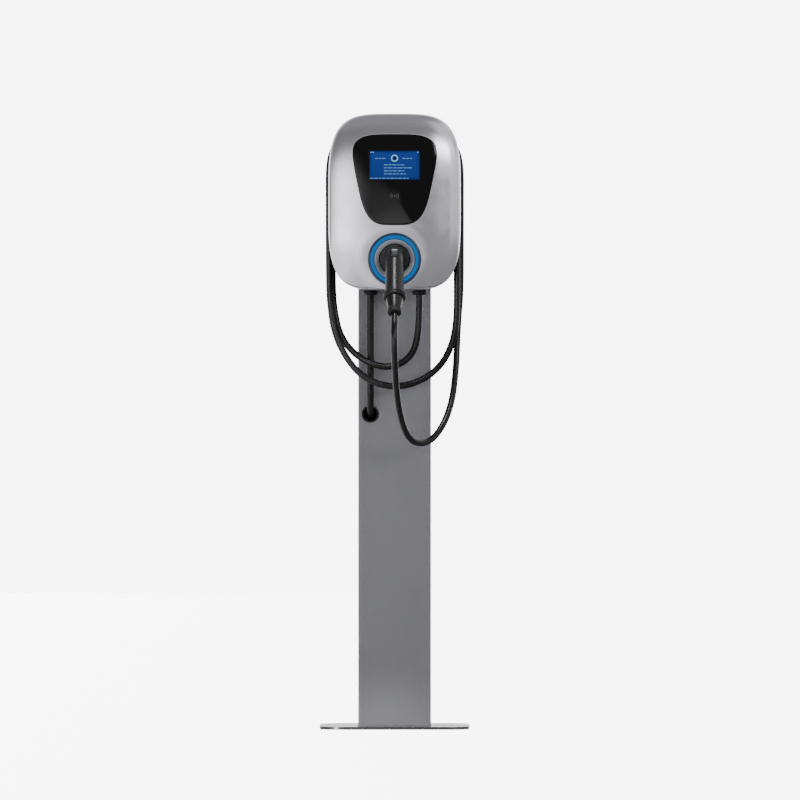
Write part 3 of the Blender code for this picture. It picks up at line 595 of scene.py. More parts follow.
def front_y(x, z, share=None):
    """The head's front surface: the dome, settling onto the holster's tilted plane."""
    dome = dome_y(x, z, share)
    plane = RING_CENTRE.y - math.tan(RING_TILT) * (z - RING_CENTRE.z)
    t = (RING_RADIUS + RING_BLEND - math.hypot(x, z - RING_CENTRE.z)) / RING_BLEND
    t = min(1.0, max(0.0, t))
    return dome + (plane - dome) * t * t * (3 - 2 * t)


def front_normal(x, z):
    step = 2e-4
    dx = front_y(x + step, z) - front_y(x - step, z)
    dz = front_y(x, z + step) - front_y(x, z - step)
    return Vector((dx / (2 * step), -1, dz / (2 * step))).normalized()


def round_reach(c, s, power):
    """How far a unit superellipse reaches in the direction (c, s)."""
    return (abs(c) ** power + abs(s) ** power) ** (-1 / power)


def head_outline(inset=0.0, sides=192):
    outline = []
    for c, s in circle(0, 0, 1, sides):
        height, power = head_half(s >= 0)
        reach = round_reach(c, s, power)
        outline.append(((HEAD_HALF_X - inset) * c * reach, HEAD_Z + (height - inset) * s * reach))
    return outline


def glass_outline(inset=0.0, sides=144):
    outline = []
    for c, s in circle(0, 0, 1, sides):
        reach = round_reach(c, s, GLASS_POWER)
        v = s * reach
        half = GLASS_HALF_X + GLASS_TAPER * v - inset
        outline.append((half * c * reach, GLASS_Z + (GLASS_HALF_Z - inset) * v))
    return outline


def inward(outline):
    """Unit directions towards the inside of a closed (x, z) outline that runs anticlockwise."""
    found = []
    for before, after in zip(outline[-1:] + outline[:-1], outline[1:] + outline[:1]):
        along = (Vector(after) - Vector(before)).normalized()
        found.append(Vector((-along.y, along.x)))
    return found


def use_front_normals(obj, rim=0.985, reach=1.5e-4, facing=-0.2):
    """Gives the smooth front its exact normals, so that no cut through it shows in its shine."""
    mesh = obj.data
    on_front = []
    for x, y, z in (vertex.co for vertex in mesh.vertices):
        on_front.append(outline_norm(x, z) < rim and abs(y - front_y(x, z)) < reach)
    normals = [Vector((0, 0, 0))] * len(mesh.loops)
    for face in mesh.polygons:
        if face.normal.y > facing or not all(on_front[v] for v in face.vertices):
            continue
        for loop in face.loop_indices:
            x, y, z = mesh.vertices[mesh.loops[loop].vertex_index].co
            normals[loop] = front_normal(x, z)
    mesh.normals_split_custom_set([tuple(n) for n in normals])


def dome_rings(wall, back, steps=72, rim=0.0006):
    """Outer and inner skins of the cover, as rings from the front's middle to the back rim and in again."""
    shares = [0.001 + 0.999 * math.sin(math.pi / 2 * i / steps) for i in range(steps + 1)]
    outline, inner = head_outline(), head_outline(wall)
    rings = [skin_ring(outline, share) for share in shares]
    for loop, y in ((outline, back - rim), (head_outline(rim), back), (inner, back), (inner, COVER_SIDE)):
        rings.append([Vector((x, y, z)) for x, z in loop])
    return rings + [skin_ring(inner, share, wall) for share in reversed(shares[::3])]


def skin_ring(outline, share, depth=0.0):
    """The outline shrunk to a share of its size, laid on the front surface or behind it."""
    places = [(x * share, HEAD_Z + (z - HEAD_Z) * share) for x, z in outline]
    return [Vector((x, front_y(x, z, share) + depth, z)) for x, z in places]


def front_cover():
    cover = loft("front_cover_shell", dome_rings(COVER_WALL, COVER_BACK))
    lip = 0.0014
    glass_hole = slab("glass_hole", [glass_outline(-lip)], -0.240, -0.165)
    mouth = rod("mouth", RING_CENTRE - 0.03 * OUT, RING_CENTRE + 0.03 * OUT, MOUTH_RADIUS, 128)
    cut(cover, glass_hole, mouth)
    use_front_normals(cover)
    finish_piece(cover, SILVER, "front_cover")
    finish_piece(glass_lip(lip), SILVER)
    finish_piece(mouth_lip(), SILVER)


def glass_lip(width):
    """The cover's edge, rolled down round the glass."""
    outer = glass_outline(-width)
    turned_in = inward(outer)
    rings = []
    for a in (math.pi / 2 * i / 8 for i in range(9)):
        rings.append(lip_ring(outer, turned_in, width * math.sin(a), LIP_DROP * (1 - math.cos(a))))
    rings.append(lip_ring(outer, turned_in, width, COVER_WALL))
    rings.append(lip_ring(outer, turned_in, 0, COVER_WALL))
    return loft("glass_lip", rings, closed_ends=True)


def lip_ring(outer, turned_in, step, drop):
    places = [(x + n.x * step, z + n.y * step) for (x, z), n in zip(outer, turned_in)]
    return [Vector((x, front_y(x, z) + drop, z)) for x, z in places]


def mouth_lip():
    profile = [(MOUTH_RADIUS, 0.0), (RING_RADIUS + 0.0009, -0.0001), (RING_RADIUS + 0.0005, -0.0004),
               (RING_RADIUS + 0.0003, -0.0010), (RING_RADIUS + 0.0003, -0.0030), (MOUTH_RADIUS, -0.0030)]
    return lathe("mouth_lip", profile, RING_CENTRE, OUT, 160)


# ---- display


def on_glass(x, z, lift=0.0):
    """A point on the glass, or proud of it by lift."""
    return Vector((x, dome_y(x, z) + GLASS_RECESS, z)) + lift * front_normal(x, z)


def display_glass():
    edge = glass_outline(0.0005)
    turned_in = inward(edge)
    middle = Vector((0, GLASS_Z))
    round_off = 0.0009
    behind = Vector((0, GLASS_DEPTH, 0))
    inner = [Vector(p) + n * round_off for p, n in zip(edge, turned_in)]
    rings = []
    for share in (0.002 + 0.998 * i / 48 for i in range(49)):
        rings.append([on_glass(*(middle + (p - middle) * share)) for p in inner])
    for a in (math.pi / 2 * i / 6 for i in range(1, 7)):
        out, drop = round_off * math.sin(a), round_off * (math.cos(a) - 1)
        rings.append([on_glass(*(p - n * out), drop) for p, n in zip(inner, turned_in)])
    for share in (1, 0.6, 0.002):
        rings.append([on_glass(*(middle + (Vector(p) - middle) * share)) + behind for p in edge])
    finish_piece(loft("display_glass_pane", rings), GLASS, "display_glass")


def decal(name, u_count, v_count, place, lift, wrap=False, depth=0.0001):
    """A thin solid laid on the glass: place(u, v) gives (x, z) for u and v from 0 to 1."""
    rings = []
    for i in range(u_count if wrap else u_count + 1):
        spots = [place(i / u_count, j / v_count) for j in range(v_count + 1)]
        top = [on_glass(*spot, lift) for spot in spots]
        rings.append(top + [on_glass(*spot, lift - depth) for spot in reversed(spots)])
    return loft(name, rings, closed_ends=wrap)


def bar(name, x0, x1, z0, z1, lift, columns=None):
    columns = columns or max(2, round((x1 - x0) / 0.004))
    rows = max(1, round((z1 - z0) / 0.004))
    return decal(name, columns, rows, lambda u, v: (x0 + (x1 - x0) * u, z0 + (z1 - z0) * v), lift)


def arc(name, x, z, inner, outer, start, end, lift, steps=16):
    def place(u, v):
        t = math.radians(start + (end - start) * u)
        r = inner + (outer - inner) * v
        return x + r * math.cos(t), z + r * math.sin(t)

    return decal(name, steps, 1, place, lift, wrap=abs(end - start) >= 360)


def lcd_glow():
    """The lit screen: blue that deepens to its border, with faint rows of cells across it."""
    n = Nodes("lcd_glow")
    x, _, z = n.add("SeparateXYZ", {"Vector": n.position()}).outputs
    half_z, mid_z = (LCD_HIGH - LCD_LOW) / 2, (LCD_HIGH + LCD_LOW) / 2
    across = n.maths("SUBTRACT", LCD_HALF_X, n.maths("ABSOLUTE", x))
    down = n.maths("SUBTRACT", half_z, n.maths("ABSOLUTE", n.maths("SUBTRACT", z, mid_z)))
    rim = n.spread(n.maths("MINIMUM", across, down), 0, 1, 0.0, 0.006)
    body = n.mixed(n.spread(z, 0, 1, LCD_LOW, LCD_HIGH), (0.009, 0.040, 0.215), (0.014, 0.052, 0.27))
    lit = n.mixed(rim, (0.005, 0.018, 0.12), body)
    cells = n.add("TexWave", {"Vector": n.position(), "Scale": 620}, wave_type="BANDS",
                  bands_direction="Z")
    gap = n.spread(cells.outputs["Fac"], 0, 0.12, 0, 1)
    n.set(Base_Color=(0.001, 0.004, 0.012, 1), Roughness=0.06, Specular_IOR_Level=0.14,
          Emission_Color=n.mixed(gap, lit, (0.002, 0.012, 0.06)), Emission_Strength=1.0)
    return n.material


def printed(obj, material):
    """Finishes a piece of what the display shows."""
    finish_piece(obj, material, slot="display_glass")


def words(material, lift, name, z, start, end, lengths, gap=0.0016, half_height=0.0008):
    """A row of plain dashes of mixed lengths, which stands in for a line of writing."""
    x, i = start, 0
    while x < end - 0.002:
        stop = min(end, x + lengths[i % len(lengths)])
        printed(bar(f"lcd_{name}_{i + 1}", x, stop, z - half_height, z + half_height, lift, 2), material)
        x, i = stop + gap, i + 1


def display():
    display_glass()
    printed(bar("lcd_screen", -LCD_HALF_X, LCD_HALF_X, LCD_LOW, LCD_HIGH, 0.00015, 40), lcd_glow())
    ink = glowing("lcd_ink", (0.14, 0.34, 0.72), 0.9)
    bright = glowing("lcd_bright", (0.30, 0.58, 0.90), 1.0)
    dim = glowing("icon_grey", (0.10, 0.10, 0.11), 0.7)
    lift = 0.00028
    marks = [
        arc("lcd_ring_icon", 0, ICON_Z, 0.0050, 0.0072, 0, 360, lift, 40),
        bar("lcd_mark_left_1", -0.0490, -0.0462, 1.1810, 1.1826, lift),
        bar("lcd_mark_left_2", -0.0450, -0.0425, 1.1810, 1.1826, lift),
        arc("lcd_mark_right", 0.0475, 1.1818, 0.0, 0.0012, 0, 359.9, lift),
    ]
    for obj in marks:
        printed(obj, bright)
    dark = glowing("lcd_dark", (0.001, 0.006, 0.03), 1.0)
    printed(arc("lcd_ring_core", 0, ICON_Z, 0.0, 0.0030, 0, 359.9, lift, 24), dark)
    rows = (
        ("side_left", 1.1693, -0.0395, -0.0165, (0.0060, 0.0045, 0.0070)),
        ("side_right", 1.1693, 0.0155, 0.0385, (0.0055, 0.0070, 0.0040)),
        ("line_1", 1.1561, -0.0217, 0.0215, (0.0075, 0.0060, 0.0090, 0.0050)),
        ("line_2", 1.1500, -0.0217, 0.0360, (0.0060, 0.0095, 0.0070, 0.0110)),
        ("line_3", 1.1438, -0.0217, 0.0200, (0.0090, 0.0055, 0.0080)),
        ("line_4", 1.1377, -0.0217, 0.0235, (0.0065, 0.0085, 0.0060, 0.0050)),
        ("foot", 1.1287, -0.0500, 0.0290, (0.0060, 0.0090, 0.0045, 0.0075)),
    )
    for row in rows:
        words(ink, lift, *row)
    for i, reach in enumerate((0.0040, 0.0072), 1):
        for side, start in (("right", -38), ("left", 142)):
            name = f"contactless_{side}_{i}"
            printed(arc(name, 0, READER_Z, reach, reach + 0.0013, start, start + 76, lift), dim)
    printed(arc("contactless_dot", 0, READER_Z, 0.0, 0.0016, 0, 359.9, lift), dim)


# ---- holster

def holster():
    """Turned parts about the holster's axis: heights run outwards from the ring's plane."""
    floor, root = -CUP_DEPTH, -0.006
    trim = [(0.0493, root), (0.0493, 0.0017), (0.0497, 0.0021), (0.0520, 0.0021),
            (0.0530, 0.0014), (RING_RADIUS, 0.0002), (RING_RADIUS, root)]
    band = [(0.0424, root), (0.0424, 0.0011), (0.0436, 0.0017), (0.0456, 0.0019), (0.0478, 0.0017),
            (0.0491, 0.0012), (0.0491, root)]
    inner = [(RING_INNER, root), (RING_INNER, 0.0010), (0.0416, 0.0014), (0.0422, 0.0014), (0.0422, root)]
    bezel = [(0.0318, -0.0120), (0.0318, -0.0096), (0.0326, -0.0089), (0.0392, 0.0002),
             (0.0401, 0.0008), (0.0410, 0.0006), (0.0410, -0.0120)]
    cup = [(0, floor + 0.003), (0.010, floor + 0.003), (CUP_INNER, floor + 0.003), (CUP_INNER, -0.0123),
           (0.0405, -0.0123), (0.0405, -0.0150), (CUP_OUTER, -0.0150), (CUP_OUTER, floor), (0, floor)]
    for name, profile, rounding, steps, material, *nodes in (
        ("ring_outer_trim", trim, 0.0004, 160, BLUE_EDGE, "light_ring"),
        ("ring_light_band", band, 0.0006, 160, BLUE_BAND),
        ("ring_inner_trim", inner, 0.0, 160, BLUE_EDGE),
        ("holster_bezel", bezel, 0.0006, 160, BEZEL, "ring_bezel"),
        ("holster_cup_liner", cup, 0.0008, 96, BLACK, "holster_cup"),
    ):
        finish_piece(lathe(name, profile, RING_CENTRE, OUT, steps, rounding), material, *nodes)


# ---- connector

def handle_path(bend_steps=28, drop_steps=16):
    """The handle's centre line, its bend's centre, and where its straight part starts."""
    start = RING_CENTRE + HANDLE_RISE * UP - 0.0027 * OUT
    bend_centre = start + HANDLE_LEAD * OUT - HANDLE_BEND * UP
    points = [start + HANDLE_LEAD * OUT * i / 8 for i in range(8)]
    for i in range(bend_steps + 1):
        t = RING_TILT + (HANDLE_SLOPE - RING_TILT) * i / bend_steps
        points.append(bend_centre + HANDLE_BEND * Vector((0, -math.sin(t), math.cos(t))))
    last = points[-1]
    straight = len(points)
    points += [last + HANDLE_LENGTH * i / drop_steps * DOWN for i in range(1, drop_steps + 1)]
    return points, bend_centre, straight


def button_frame():
    """The thumb button's own frame: X across, Y along the handle and Z out of it."""
    normal = Vector((0, -math.sin(BUTTON_ANGLE), math.cos(BUTTON_ANGLE)))
    along = Vector((0, math.cos(BUTTON_ANGLE), math.sin(BUTTON_ANGLE)))
    turn = Matrix((SIDEWAYS, along, normal)).transposed().to_4x4()
    turn.translation = handle_path()[1] + (HANDLE_BEND + HANDLE_RADIUS) * normal
    return turn


def connector():
    tip, neck = -NOSE_DEPTH, -0.0090
    inner = NOSE_RADIUS - NOSE_WALL
    shell = [(0, -0.0140), (inner, -0.0140), (inner, tip), (NOSE_RADIUS, tip), (NOSE_RADIUS, neck),
             (FLANGE_RADIUS, neck), (FLANGE_RADIUS, -0.0030), (0, -0.0030)]
    shell = lathe("connector_nose", shell, RING_CENTRE, OUT, 128, 0.0007)
    finish_piece(shell, BLACK, "connector_shell", body="connector", slot="handle_plastic")
    return [shell, pins(tip, inner), grip(), *tail()]


def pins(tip, inner):
    """The pin carrier, with seven holes: one in the middle, four round it and two above."""
    carrier = rod("pin_block", RING_CENTRE + (tip + 0.006) * OUT, RING_CENTRE - 0.0143 * OUT,
                  inner - GAP, 96)
    ring = [(0.0125 * math.cos(t), 0.0125 * math.sin(t)) for t in map(math.radians, (0, 180, 235, 305))]
    holes = []
    for i, (x, up) in enumerate([(0, 0), *ring, (-0.0065, 0.0125), (0.0065, 0.0125)]):
        spot = RING_CENTRE + x * SIDEWAYS + up * UP
        holes.append(rod(f"pin_hole_{i}", spot + tip * OUT, spot - 0.026 * OUT, 0.0032, 32))
    cut(carrier, *holes, solver="MANIFOLD")
    return finish_piece(carrier, CARRIER, "pin_carrier", body="connector")


def grip():
    """The handle: a rounded shoulder at its flange, an even bend, and a straight part that widens."""
    points, _, straight = handle_path()
    shoulder = (0.0008, 0.0014, 0.0016, 0.0016, 0.0015, 0.0013, 0.0009, 0.0004)
    widening = HANDLE_END_RADIUS - HANDLE_RADIUS
    radii = [HANDLE_RADIUS + widening * max(0, (i - straight + 1) / (len(points) - straight))
             for i in range(len(points))]
    for i, step in enumerate(shoulder):
        radii[i] += step
    handle = sweep("connector_grip", points, radii, 72)
    half_w, half_l = BUTTON_WIDTH / 2 + 0.0004, BUTTON_LENGTH / 2 + 0.0004
    pocket = block("button_well", (-half_w, -half_l, -0.0100), (half_w, half_l, 0.010), 0.0012,
                   button_frame())
    cut(handle, apply_modifiers(pocket))
    return finish_piece(handle, HANDLE, "connector_handle", body="connector")


def thumb_button():
    """A rocker in the top of the handle, with ribs that lean forward more towards its upper end."""
    turn = button_frame()
    half_w, half_l = BUTTON_WIDTH / 2, BUTTON_LENGTH / 2
    rib_low, rib_high = (0.0008 - half_w, -0.0019, -0.0012), (half_w - 0.0008, 0.0019, 0.0010)
    body = block("button_body", (-half_w, -half_l, -0.0068), (half_w, half_l, 0.0006), 0.0010, turn)
    made = [finish_piece(body, BLACK, "thumb_button", body="button")]
    for i in range(RIBS):
        tilt = RIB_TILT * (0.4 + 0.15 * i)
        place = Matrix.Translation((0, (i - 2) * RIB_SPACING, 0.0004)) @ Matrix.Rotation(tilt, 4, "X")
        rib = block(f"button_rib_{i + 1}", rib_low, rib_high, 0.0004, turn @ place)
        material = HANDLE if i == RIBS - 1 else BLACK
        made.append(finish_piece(rib, material, body="button", slot="black_plastic"))
    return made


def below_grip(*lengths):
    """A point on the handle's axis, below its end and below parts of these lengths with gaps between."""
    return handle_path()[0][-1] + (sum(lengths) + GAP * (len(lengths) + 1)) * DOWN


def tail():
    """The cap nut, the strain cone and the collar, each hung from its own top."""
    bore = CABLE_RADIUS + 0.0010
    nut = [(0, 0), (0.0200, 0), (NUT_RADIUS, -0.0018), (NUT_RADIUS, -0.0050), (0.0211, -0.0057),
           (0.0211, -0.0067), (NUT_RADIUS, -0.0074), (NUT_RADIUS, -0.0105), (0.0200, -NUT_LENGTH),
           (0, -NUT_LENGTH)]
    cone = [(0, 0), (0.0175, 0), (0.0178, -0.0006), (0.0130, -CONE_LENGTH + 0.0005),
            (0.0125, -CONE_LENGTH), (0, -CONE_LENGTH)]
    collar = [(bore, 0), (0.0128, 0), (COLLAR_RADIUS, -0.0018), (COLLAR_RADIUS, 0.0018 - COLLAR_LENGTH),
              (0.0125, -COLLAR_LENGTH), (bore, -COLLAR_LENGTH)]
    parts = (
        ("cap_nut", nut, (), 128, 0.0007, BLACK, "handle_plastic", "connector_cap_nut"),
        ("strain_cone_body", cone, (NUT_LENGTH,), 96, 0.0006, HANDLE, "rubber", "strain_cone"),
        ("cable_collar_ring", collar, (NUT_LENGTH, CONE_LENGTH), 96, 0.0009, RUBBER, "rubber",
         "cable_collar"),
    )
    made = []
    for name, profile, above, steps, rounding, material, slot, node in parts:
        part = lathe(name, profile, below_grip(*above), -DOWN, steps, rounding)
        made.append(finish_piece(part, material, node, body="connector", slot=slot))
    return made


# ---- cables

def length_of(path):
    return sum((b - a).length for a, b in zip(path, path[1:]))


def charging_lead():
    """One lead from the right gland, round its loops behind the cover and below it, to the connector."""
    collar_top = below_grip(NUT_LENGTH, CONE_LENGTH)
    last = [tuple(p / MM) for p in (collar_top + 0.013 * DOWN, collar_top + GAP * DOWN)]
    path = smooth_points(CHARGE_ROUTE + DROP_ROUTE[1:] + last, 0.0055)
    lead = sweep("charging_lead", path, CABLE_RADIUS, 24)
    lead.data.materials.append(CABLE)
    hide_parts("charge_cable", "charge_cable_drop")
    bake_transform(lead)
    gland_foot = CHARGE_GLAND - Vector((0, 0, GLAND_DROP))
    outside = [p for i, p in enumerate(path) if p.z < gland_foot.z or i > 30]
    length_of(outside)
    return lead


def supply_cable():
    """Down from the left gland, back through the grommet in an S, and into the junction box."""
    x, y = SUPPLY_GLAND.x, SUPPLY_GLAND.y
    start, box_top, end = 0.915, 0.545, 0.508
    turn = math.acos(1 + y / (2 * SUPPLY_BEND))
    at_wall = math.acos(1 - (POST_FRONT - y) / SUPPLY_BEND)
    top = GROMMET_Z + SUPPLY_BEND * math.sin(at_wall)
    foot = top - 2 * SUPPLY_BEND * math.sin(turn)
    path = [Vector((x, y, start - (start - top) * i / 12)) for i in range(12)]
    bends = [(SUPPLY_BEND * (1 - math.cos(turn * i / 24)), SUPPLY_BEND * math.sin(turn * i / 24))
             for i in range(25)]
    path += [Vector((x, y + back, top - drop)) for back, drop in bends]
    path += [Vector((x, -back, foot + drop)) for back, drop in reversed(bends[:-1])]
    path += [Vector((x, 0, box_top)), Vector((x, 0, end))]
    finish_piece(sweep("supply_cable_run", path, SUPPLY_RADIUS, 32), CABLE, "supply_cable")


def glands():
    up = Vector((0, 0, 1))
    places = (("supply", SUPPLY_GLAND, SUPPLY_RADIUS), ("charge", CHARGE_GLAND, CABLE_RADIUS))
    for name, spot, radius in places:
        bore = radius + 0.0004
        body = [(bore, 0.0130), (0.0100, 0.0130), (0.0100, -GAP), (0.0155, -GAP),
                (0.0155, -0.0060), (bore, -0.0060)]
        body = lathe(f"{name}_gland_collar", body, spot, up, rounding=0.0006)
        finish_piece(body, BLACK, f"{name}_gland_body")
        nut = [(bore, -0.0063), (0.0138, -0.0063), (0.0148, -0.0072), (0.0148, -0.0108),
               (0.0122, -GLAND_DROP), (bore, -GLAND_DROP)]
        nut = lathe(f"{name}_gland_dome", nut, spot, up, rounding=0.0006, round_by=nut_flats)
        finish_piece(nut, BLACK, f"{name}_gland_nut")


def nut_flats(angle, height, flat=0.955, dome_top=-0.0125):
    """Six shallow flats round a nut, above its dome."""
    sixth = math.pi / 3
    across = math.cos(sixth / 2) / math.cos((angle % sixth) - sixth / 2)
    return 1 if height < dome_top else flat + (1 - flat) * min(1, across * 1.02)


# ---- post and base

def base_plate():
    low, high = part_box("base_plate")
    outline = rounded(high.x, low.y, high.y, 0.050, 0.050, 24)
    anchors = [circle(sx * 0.118, sy * 0.090, 0.0065, 48) for sx in (-1, 1) for sy in (-1, 1)]
    cable_entry = circle(0, 0.030, 0.020)
    plate = slab("base_plate_steel", [outline, *anchors, cable_entry], low.z, high.z,
                 upright=False, bevel=0.0008)
    finish_piece(plate, STAINLESS, "base_plate")
    # The edge faces take the dark steel: painted shade for the dark reflection along the plate's edge.
    plate.data.materials.append(STEEL_EDGE_PAINTED_DARK)
    for face in plate.data.polygons:
        if abs(face.normal.z) < 0.5:
            face.material_index = 1


def post_column():
    low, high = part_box("post_column")
    x, y = high.x, high.y
    outside = rounded(x, -y, y, 0.004, 0.004, 8)
    inside = rounded(x - 0.003, 0.003 - y, y - 0.003, 0.001, 0.001, 3)
    post = slab("post_tube", [outside, inside], low.z, high.z, upright=False)
    in_front, behind = (POST_FRONT - 0.010, POST_FRONT + 0.010), (-POST_FRONT - 0.010, 0.010 - POST_FRONT)
    holes = [slab("grommet_hole", [circle(SUPPLY_GLAND.x, GROMMET_Z, 0.016)], *in_front)]
    bolts = [(u, v) for u in (-0.045, 0.045) for v in (0.980, 1.130)]
    for i, (u, v) in enumerate(bolts):
        holes.append(slab(f"bolt_hole_{i}", [circle(u, v, 0.0033, 24)], *in_front))
    opening = [(u, v + 0.520) for u, v in rounded(0.045, -0.1, 0.1, 0.006, 0.006, 6)]
    holes.append(slab("access_hole", [opening], *behind))
    cut(post, *holes)
    finish_piece(post, POST_PAINT, "post_column")
    cap_low, cap_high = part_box("post_top_cap")
    cap = slab("post_cap", [outside], high.z + GAP, cap_high.z, upright=False, bevel=0.0012)
    plug_x, plug_y = x - 0.0035, y - 0.0035
    plug = block("post_cap_plug", (-plug_x, -plug_y, cap_low.z), (plug_x, plug_y, high.z + 0.001))
    finish_piece(cap, BLACK, "post_top_cap")
    finish_piece(plug, BLACK)


def star_screw(name, spot, radius, height, node):
    """A pan-head screw that faces the back, with a star recess and a lobed flank."""
    recess = radius * 0.42
    profile = [(0, height * 0.35), (recess, height * 0.35), (recess, height * 0.98),
               (radius * 0.6, height * 0.95), (radius * 0.9, height * 0.6), (radius, GAP), (0, GAP)]

    def lobes(angle, h):
        lobed = height * 0.35 <= h < height * 0.945 or h >= height * 0.979
        return 1 + 0.16 * math.cos(6 * angle) if lobed else 1

    screw = lathe(name, profile, spot, (0, 1, 0), 48, round_by=lobes)
    finish_piece(screw, ZINC, node)


def access_panel():
    low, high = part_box("access_cover")
    middle, half = (low.z + high.z) / 2, (high.z - low.z) / 2
    outline = [(x, z + middle) for x, z in rounded(high.x, -half, half, 0.006, 0.006, 8)]
    panel = slab("access_panel", [outline], low.y, high.y, bevel=0.0007)
    finish_piece(panel, POST_PAINT, "access_cover")
    places = [(sx * 0.051, middle + sz * 0.104) for sx in (-1, 1) for sz in (-1, 1)]
    for i, (x, z) in enumerate(places, 1):
        spot = Vector((x, high.y - GAP, z))
        star_screw(f"panel_screw_{i}", spot, 0.0048, 0.0024, f"access_screw_{i}")


def drum_outline(inset=0.0, steps=24):
    return rounded(DRUM_HALF_X - inset, DRUM_LOW + inset, DRUM_HIGH - inset,
                   DRUM_LOW_CORNER - inset, DRUM_HIGH_CORNER - inset, steps)


def rear_shell():
    low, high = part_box("rear_housing")
    housing = slab("rear_shell", [drum_outline()], low.y, high.y)
    holes = [slab("shell_hollow", [drum_outline(0.003)], low.y - 0.01, high.y - 0.003)]
    rise = Vector((0, 0, 0.01))
    for gland in (CHARGE_GLAND, SUPPLY_GLAND):
        holes.append(rod("gland_bore", gland - rise, gland + rise, 0.0103))
    cut(housing, *holes)
    finish_piece(soften(housing, 0.0008, 50), BLACK, "rear_housing")
    rim_low, rim_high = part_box("back_plate")
    flange = [rounded(rim_high.x, rim_low.z, rim_high.z, 0.075, 0.085, 24)]
    frame_loops = [head_outline(COVER_WALL + 0.0005), drum_outline(0.008)]
    seal_loops = [drum_outline(0.0005), drum_outline(0.006)]
    for name, loops, bevel, material, node in (
        ("hanging_plate", flange, 0.0008, BLACK, "back_plate"),
        ("cover_rim", frame_loops, 0.0004, BLACK, "cover_frame"),
        ("shell_seal", seal_loops, 0.0, RUBBER, "housing_gasket"),
    ):
        low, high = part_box(node)
        finish_piece(slab(name, loops, low.y, high.y, bevel=bevel), material, node)
    rim_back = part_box("cover_frame")[1].y
    for i, (x, z) in enumerate([(-0.085, 1.229), (0.085, 1.229), (-0.1255, 1.060), (0.1255, 1.060)], 1):
        star_screw(f"rim_screw_{i}", Vector((x, rim_back, z)), 0.0042, 0.0030, f"cover_screw_{i}")


def grommet():
    face = Vector((SUPPLY_GLAND.x, POST_FRONT, GROMMET_Z))
    profile = [(0.0135, -0.0045), (0.0135, 0.0024), (0.0141, 0.0030), (0.0162, 0.0030),
               (GROMMET_RADIUS, 0.0018), (GROMMET_RADIUS, GAP), (0.0155, GAP), (0.0155, -0.0045)]
    ring = lathe("cable_grommet", profile, face, (0, -1, 0), rounding=0.0006)
    finish_piece(ring, RUBBER, "supply_grommet")


def inner_parts():
    """Parts that sit inside keep their CAD shapes, with finishes of their own."""
    finishes = {
        ZINC: ("din_rail", "head_bracket", "foot_angle_left", "foot_angle_right",
               *[f"foot_bolt_{i}" for i in range(1, 5)], *[f"head_bolt_{i}" for i in range(1, 5)]),
        DEVICE: ("junction_box", "contactor", "residual_breaker", "power_supply", "terminal_block",
                 "lcd_module"),
        BOARD: ("main_board", "reader_board", "led_board"),
    }
    for material, names in finishes.items():
        for name in names:
            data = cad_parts[name].data
            data.materials.clear()
            data.materials.append(material)


# ---- stage and light

WHITE = 7.0              # how bright the camera sees the floor and the air round the object
FLOOR_RADIUS = 14.0


def stage():
    """A pale floor. The camera sees it lit to plain white, and the object sees it brighter on the left."""
    n = Nodes("studio_white")
    x = n.add("SeparateXYZ", {"Vector": n.position()}).outputs["X"]
    seen = n.maths("MULTIPLY", n.add("LightPath").outputs["Is Camera Ray"], WHITE)
    n.set(Roughness=0.9, Emission_Color=(1, 1, 1, 1),
          Base_Color=n.mottled(n.noise(0.6, 2.0), (0.44, 0.44, 0.44), (0.48, 0.48, 0.48)),
          Emission_Strength=n.maths("ADD", n.spread(x, 1.2, 0.03, -1.2, 0.3), seen))
    rings = [[Vector((x, y, z)) for x, y in circle(0, 0, FLOOR_RADIUS, 96)] for z in (-0.02, 0.0)]
    floor = loft("studio_floor", rings)
    floor.data.materials.append(n.material)


def lamp(name, kind, spot, target, power, **settings):
    """A lamp aimed at a target."""
    data = bpy.data.lights.new(name, kind)
    data.energy = power
    for key, value in settings.items():
        setattr(data, key, value)
    obj = link(bpy.data.objects.new(name, data))
    obj.location = spot
    obj.rotation_euler = (Vector(target) - Vector(spot)).to_track_quat("-Z", "Y").to_euler()
    return obj


def snoot(name, spot, target, half_angle, power, radius):
    """A narrow lamp that lights one place and leaves the rest alone."""
    lamp(name, "SPOT", spot, target, power, spot_size=2 * math.radians(half_angle), spot_blend=0.6,
         shadow_soft_size=radius)


def flagged_lamp(name, spot, target, size, power, pieces):
    """A softbox, unseen by the camera, that lights only the given pieces."""
    obj = lamp(name, "AREA", spot, target, power, shape="RECTANGLE", size=size[0], size_y=size[1])
    obj.visible_camera = False
    lit = bpy.data.collections.new(name + "_lights")
    for piece in pieces:
        lit.objects.link(piece)
    obj.light_linking.receiver_collection = lit


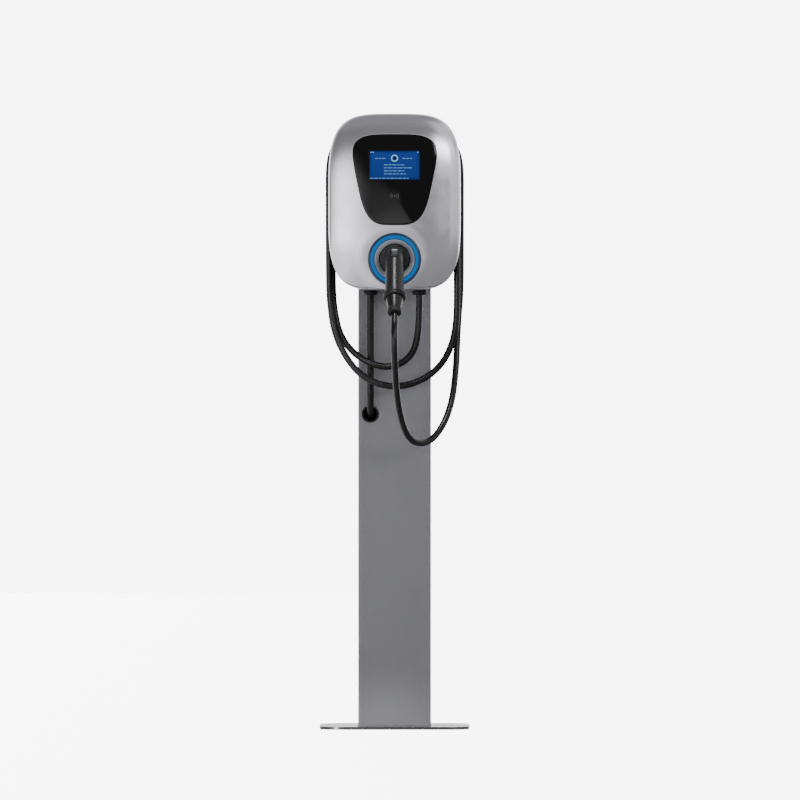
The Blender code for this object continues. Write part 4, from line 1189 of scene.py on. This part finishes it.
class Sky(Tree):
    """Softboxes round the object, placed by azimuth (right is positive) and height, in degrees."""

    def __init__(self):
        world = bpy.data.worlds.new("studio")
        super().__init__(world)
        bpy.context.scene.world = world
        x, y, z = self.add("SeparateXYZ", {0: self.add("TexCoord").outputs["Generated"]}).outputs
        self.azimuth = self.degrees(self.maths("ARCTAN2", x, self.maths("MULTIPLY", y, -1.0)))
        self.height = self.degrees(self.maths("ARCSINE", z))

    def degrees(self, radians):
        return self.maths("MULTIPLY", radians, 180 / math.pi)

    def softbox(self, left, right, low, high, strength, edges, right_axis=None):
        """A rectangle of light whose left, right, low and high edges fade over those widths."""
        sides = (
            (self.azimuth, left, -edges[0] / 2),
            (right_axis or self.azimuth, right, edges[1] / 2),
            (self.height, low, -edges[2] / 2),
            (self.height, high, edges[3] / 2),
        )
        total = strength
        for axis, edge, half in sides:
            total = self.maths("MULTIPLY", self.spread(axis, 0, 1, edge + half, edge - half, "SMOOTHSTEP"),
                               total)
        return total

    def shine(self, ambient, boxes):
        """Lights the world by an even glow and softboxes. The camera sees it as white at least."""
        total = ambient
        for box in boxes:
            total = self.maths("ADD", self.softbox(*box), total)
        seen = self.maths("MULTIPLY", self.add("LightPath").outputs["Is Camera Ray"], WHITE)
        background = self.tree.nodes["Background"].inputs
        self.feed(background["Strength"], self.maths("MAXIMUM", seen, total))
        self.feed(background["Color"], (1, 1, 1, 1))


def lights(connector_pieces):
    """The studio. A softbox reads left, right, low and high edge, strength, and the edges' widths."""
    sky = Sky()
    slanted = sky.maths("ADD", sky.azimuth, sky.height)
    sky.shine(0.25, (
        (-181, 181, 38, 91, 0.09, (1, 1, 14, 1)),
        (-105, 2.5, -14, 1, 1.3, (30, 1.2, 22, 8), slanted),
        (-105, -16, -14, 2, 1.0, (30, 18, 22, 18)),
        (-60, -12, -6, 4, 2.2, (60, 10, 10, 14)),
        (-150, -15, -50, -14, 0.65, (40, 20, 30, 14)),
        (15, 85, 10, 22, 1.3, (4, 40, 5, 12)),
        (15, 46, 9, 15, 8.5, (4, 18, 4, 8)),
        (44, 130, -2, 12, 0.8, (16, 30, 12, 10)),
        (24, 120, 20, 60, 0.6, (20, 40, 16, 30)),
        (120, 181, 5, 50, 0.9, (60, 1, 20, 30)),
        (-181, -125, 5, 50, 0.9, (1, 50, 20, 30)),
        (140, 181, -8, 5, 3.2, (40, 1, 6, 6)),
        (-181, -140, -8, 5, 3.2, (1, 40, 6, 6)),
    ))
    snoot("base_snoot", (-1.5, -1.9, 0.14), (0.0, -0.06, -0.01), 2.6, 130, 0.05)
    flagged_lamp("connector_lamp", (-0.03, -0.72, 1.75), (0, -0.28, 0.90), (0.20, 0.80), 12,
                 connector_pieces)
    flagged_lamp("lead_lamp", (-1.2, -6.0, 0.95), (0, -0.30, 0.80), (0.9, 1.4), 45, connector_pieces)


def main():
    base_plate()
    post_column()
    access_panel()
    grommet()
    rear_shell()
    front_cover()
    display()
    holster()
    glands()
    supply_cable()
    pieces = connector()
    button = thumb_button()
    lead = charging_lead()
    inner_parts()
    stage()
    lights([*pieces, *button, lead])


main()
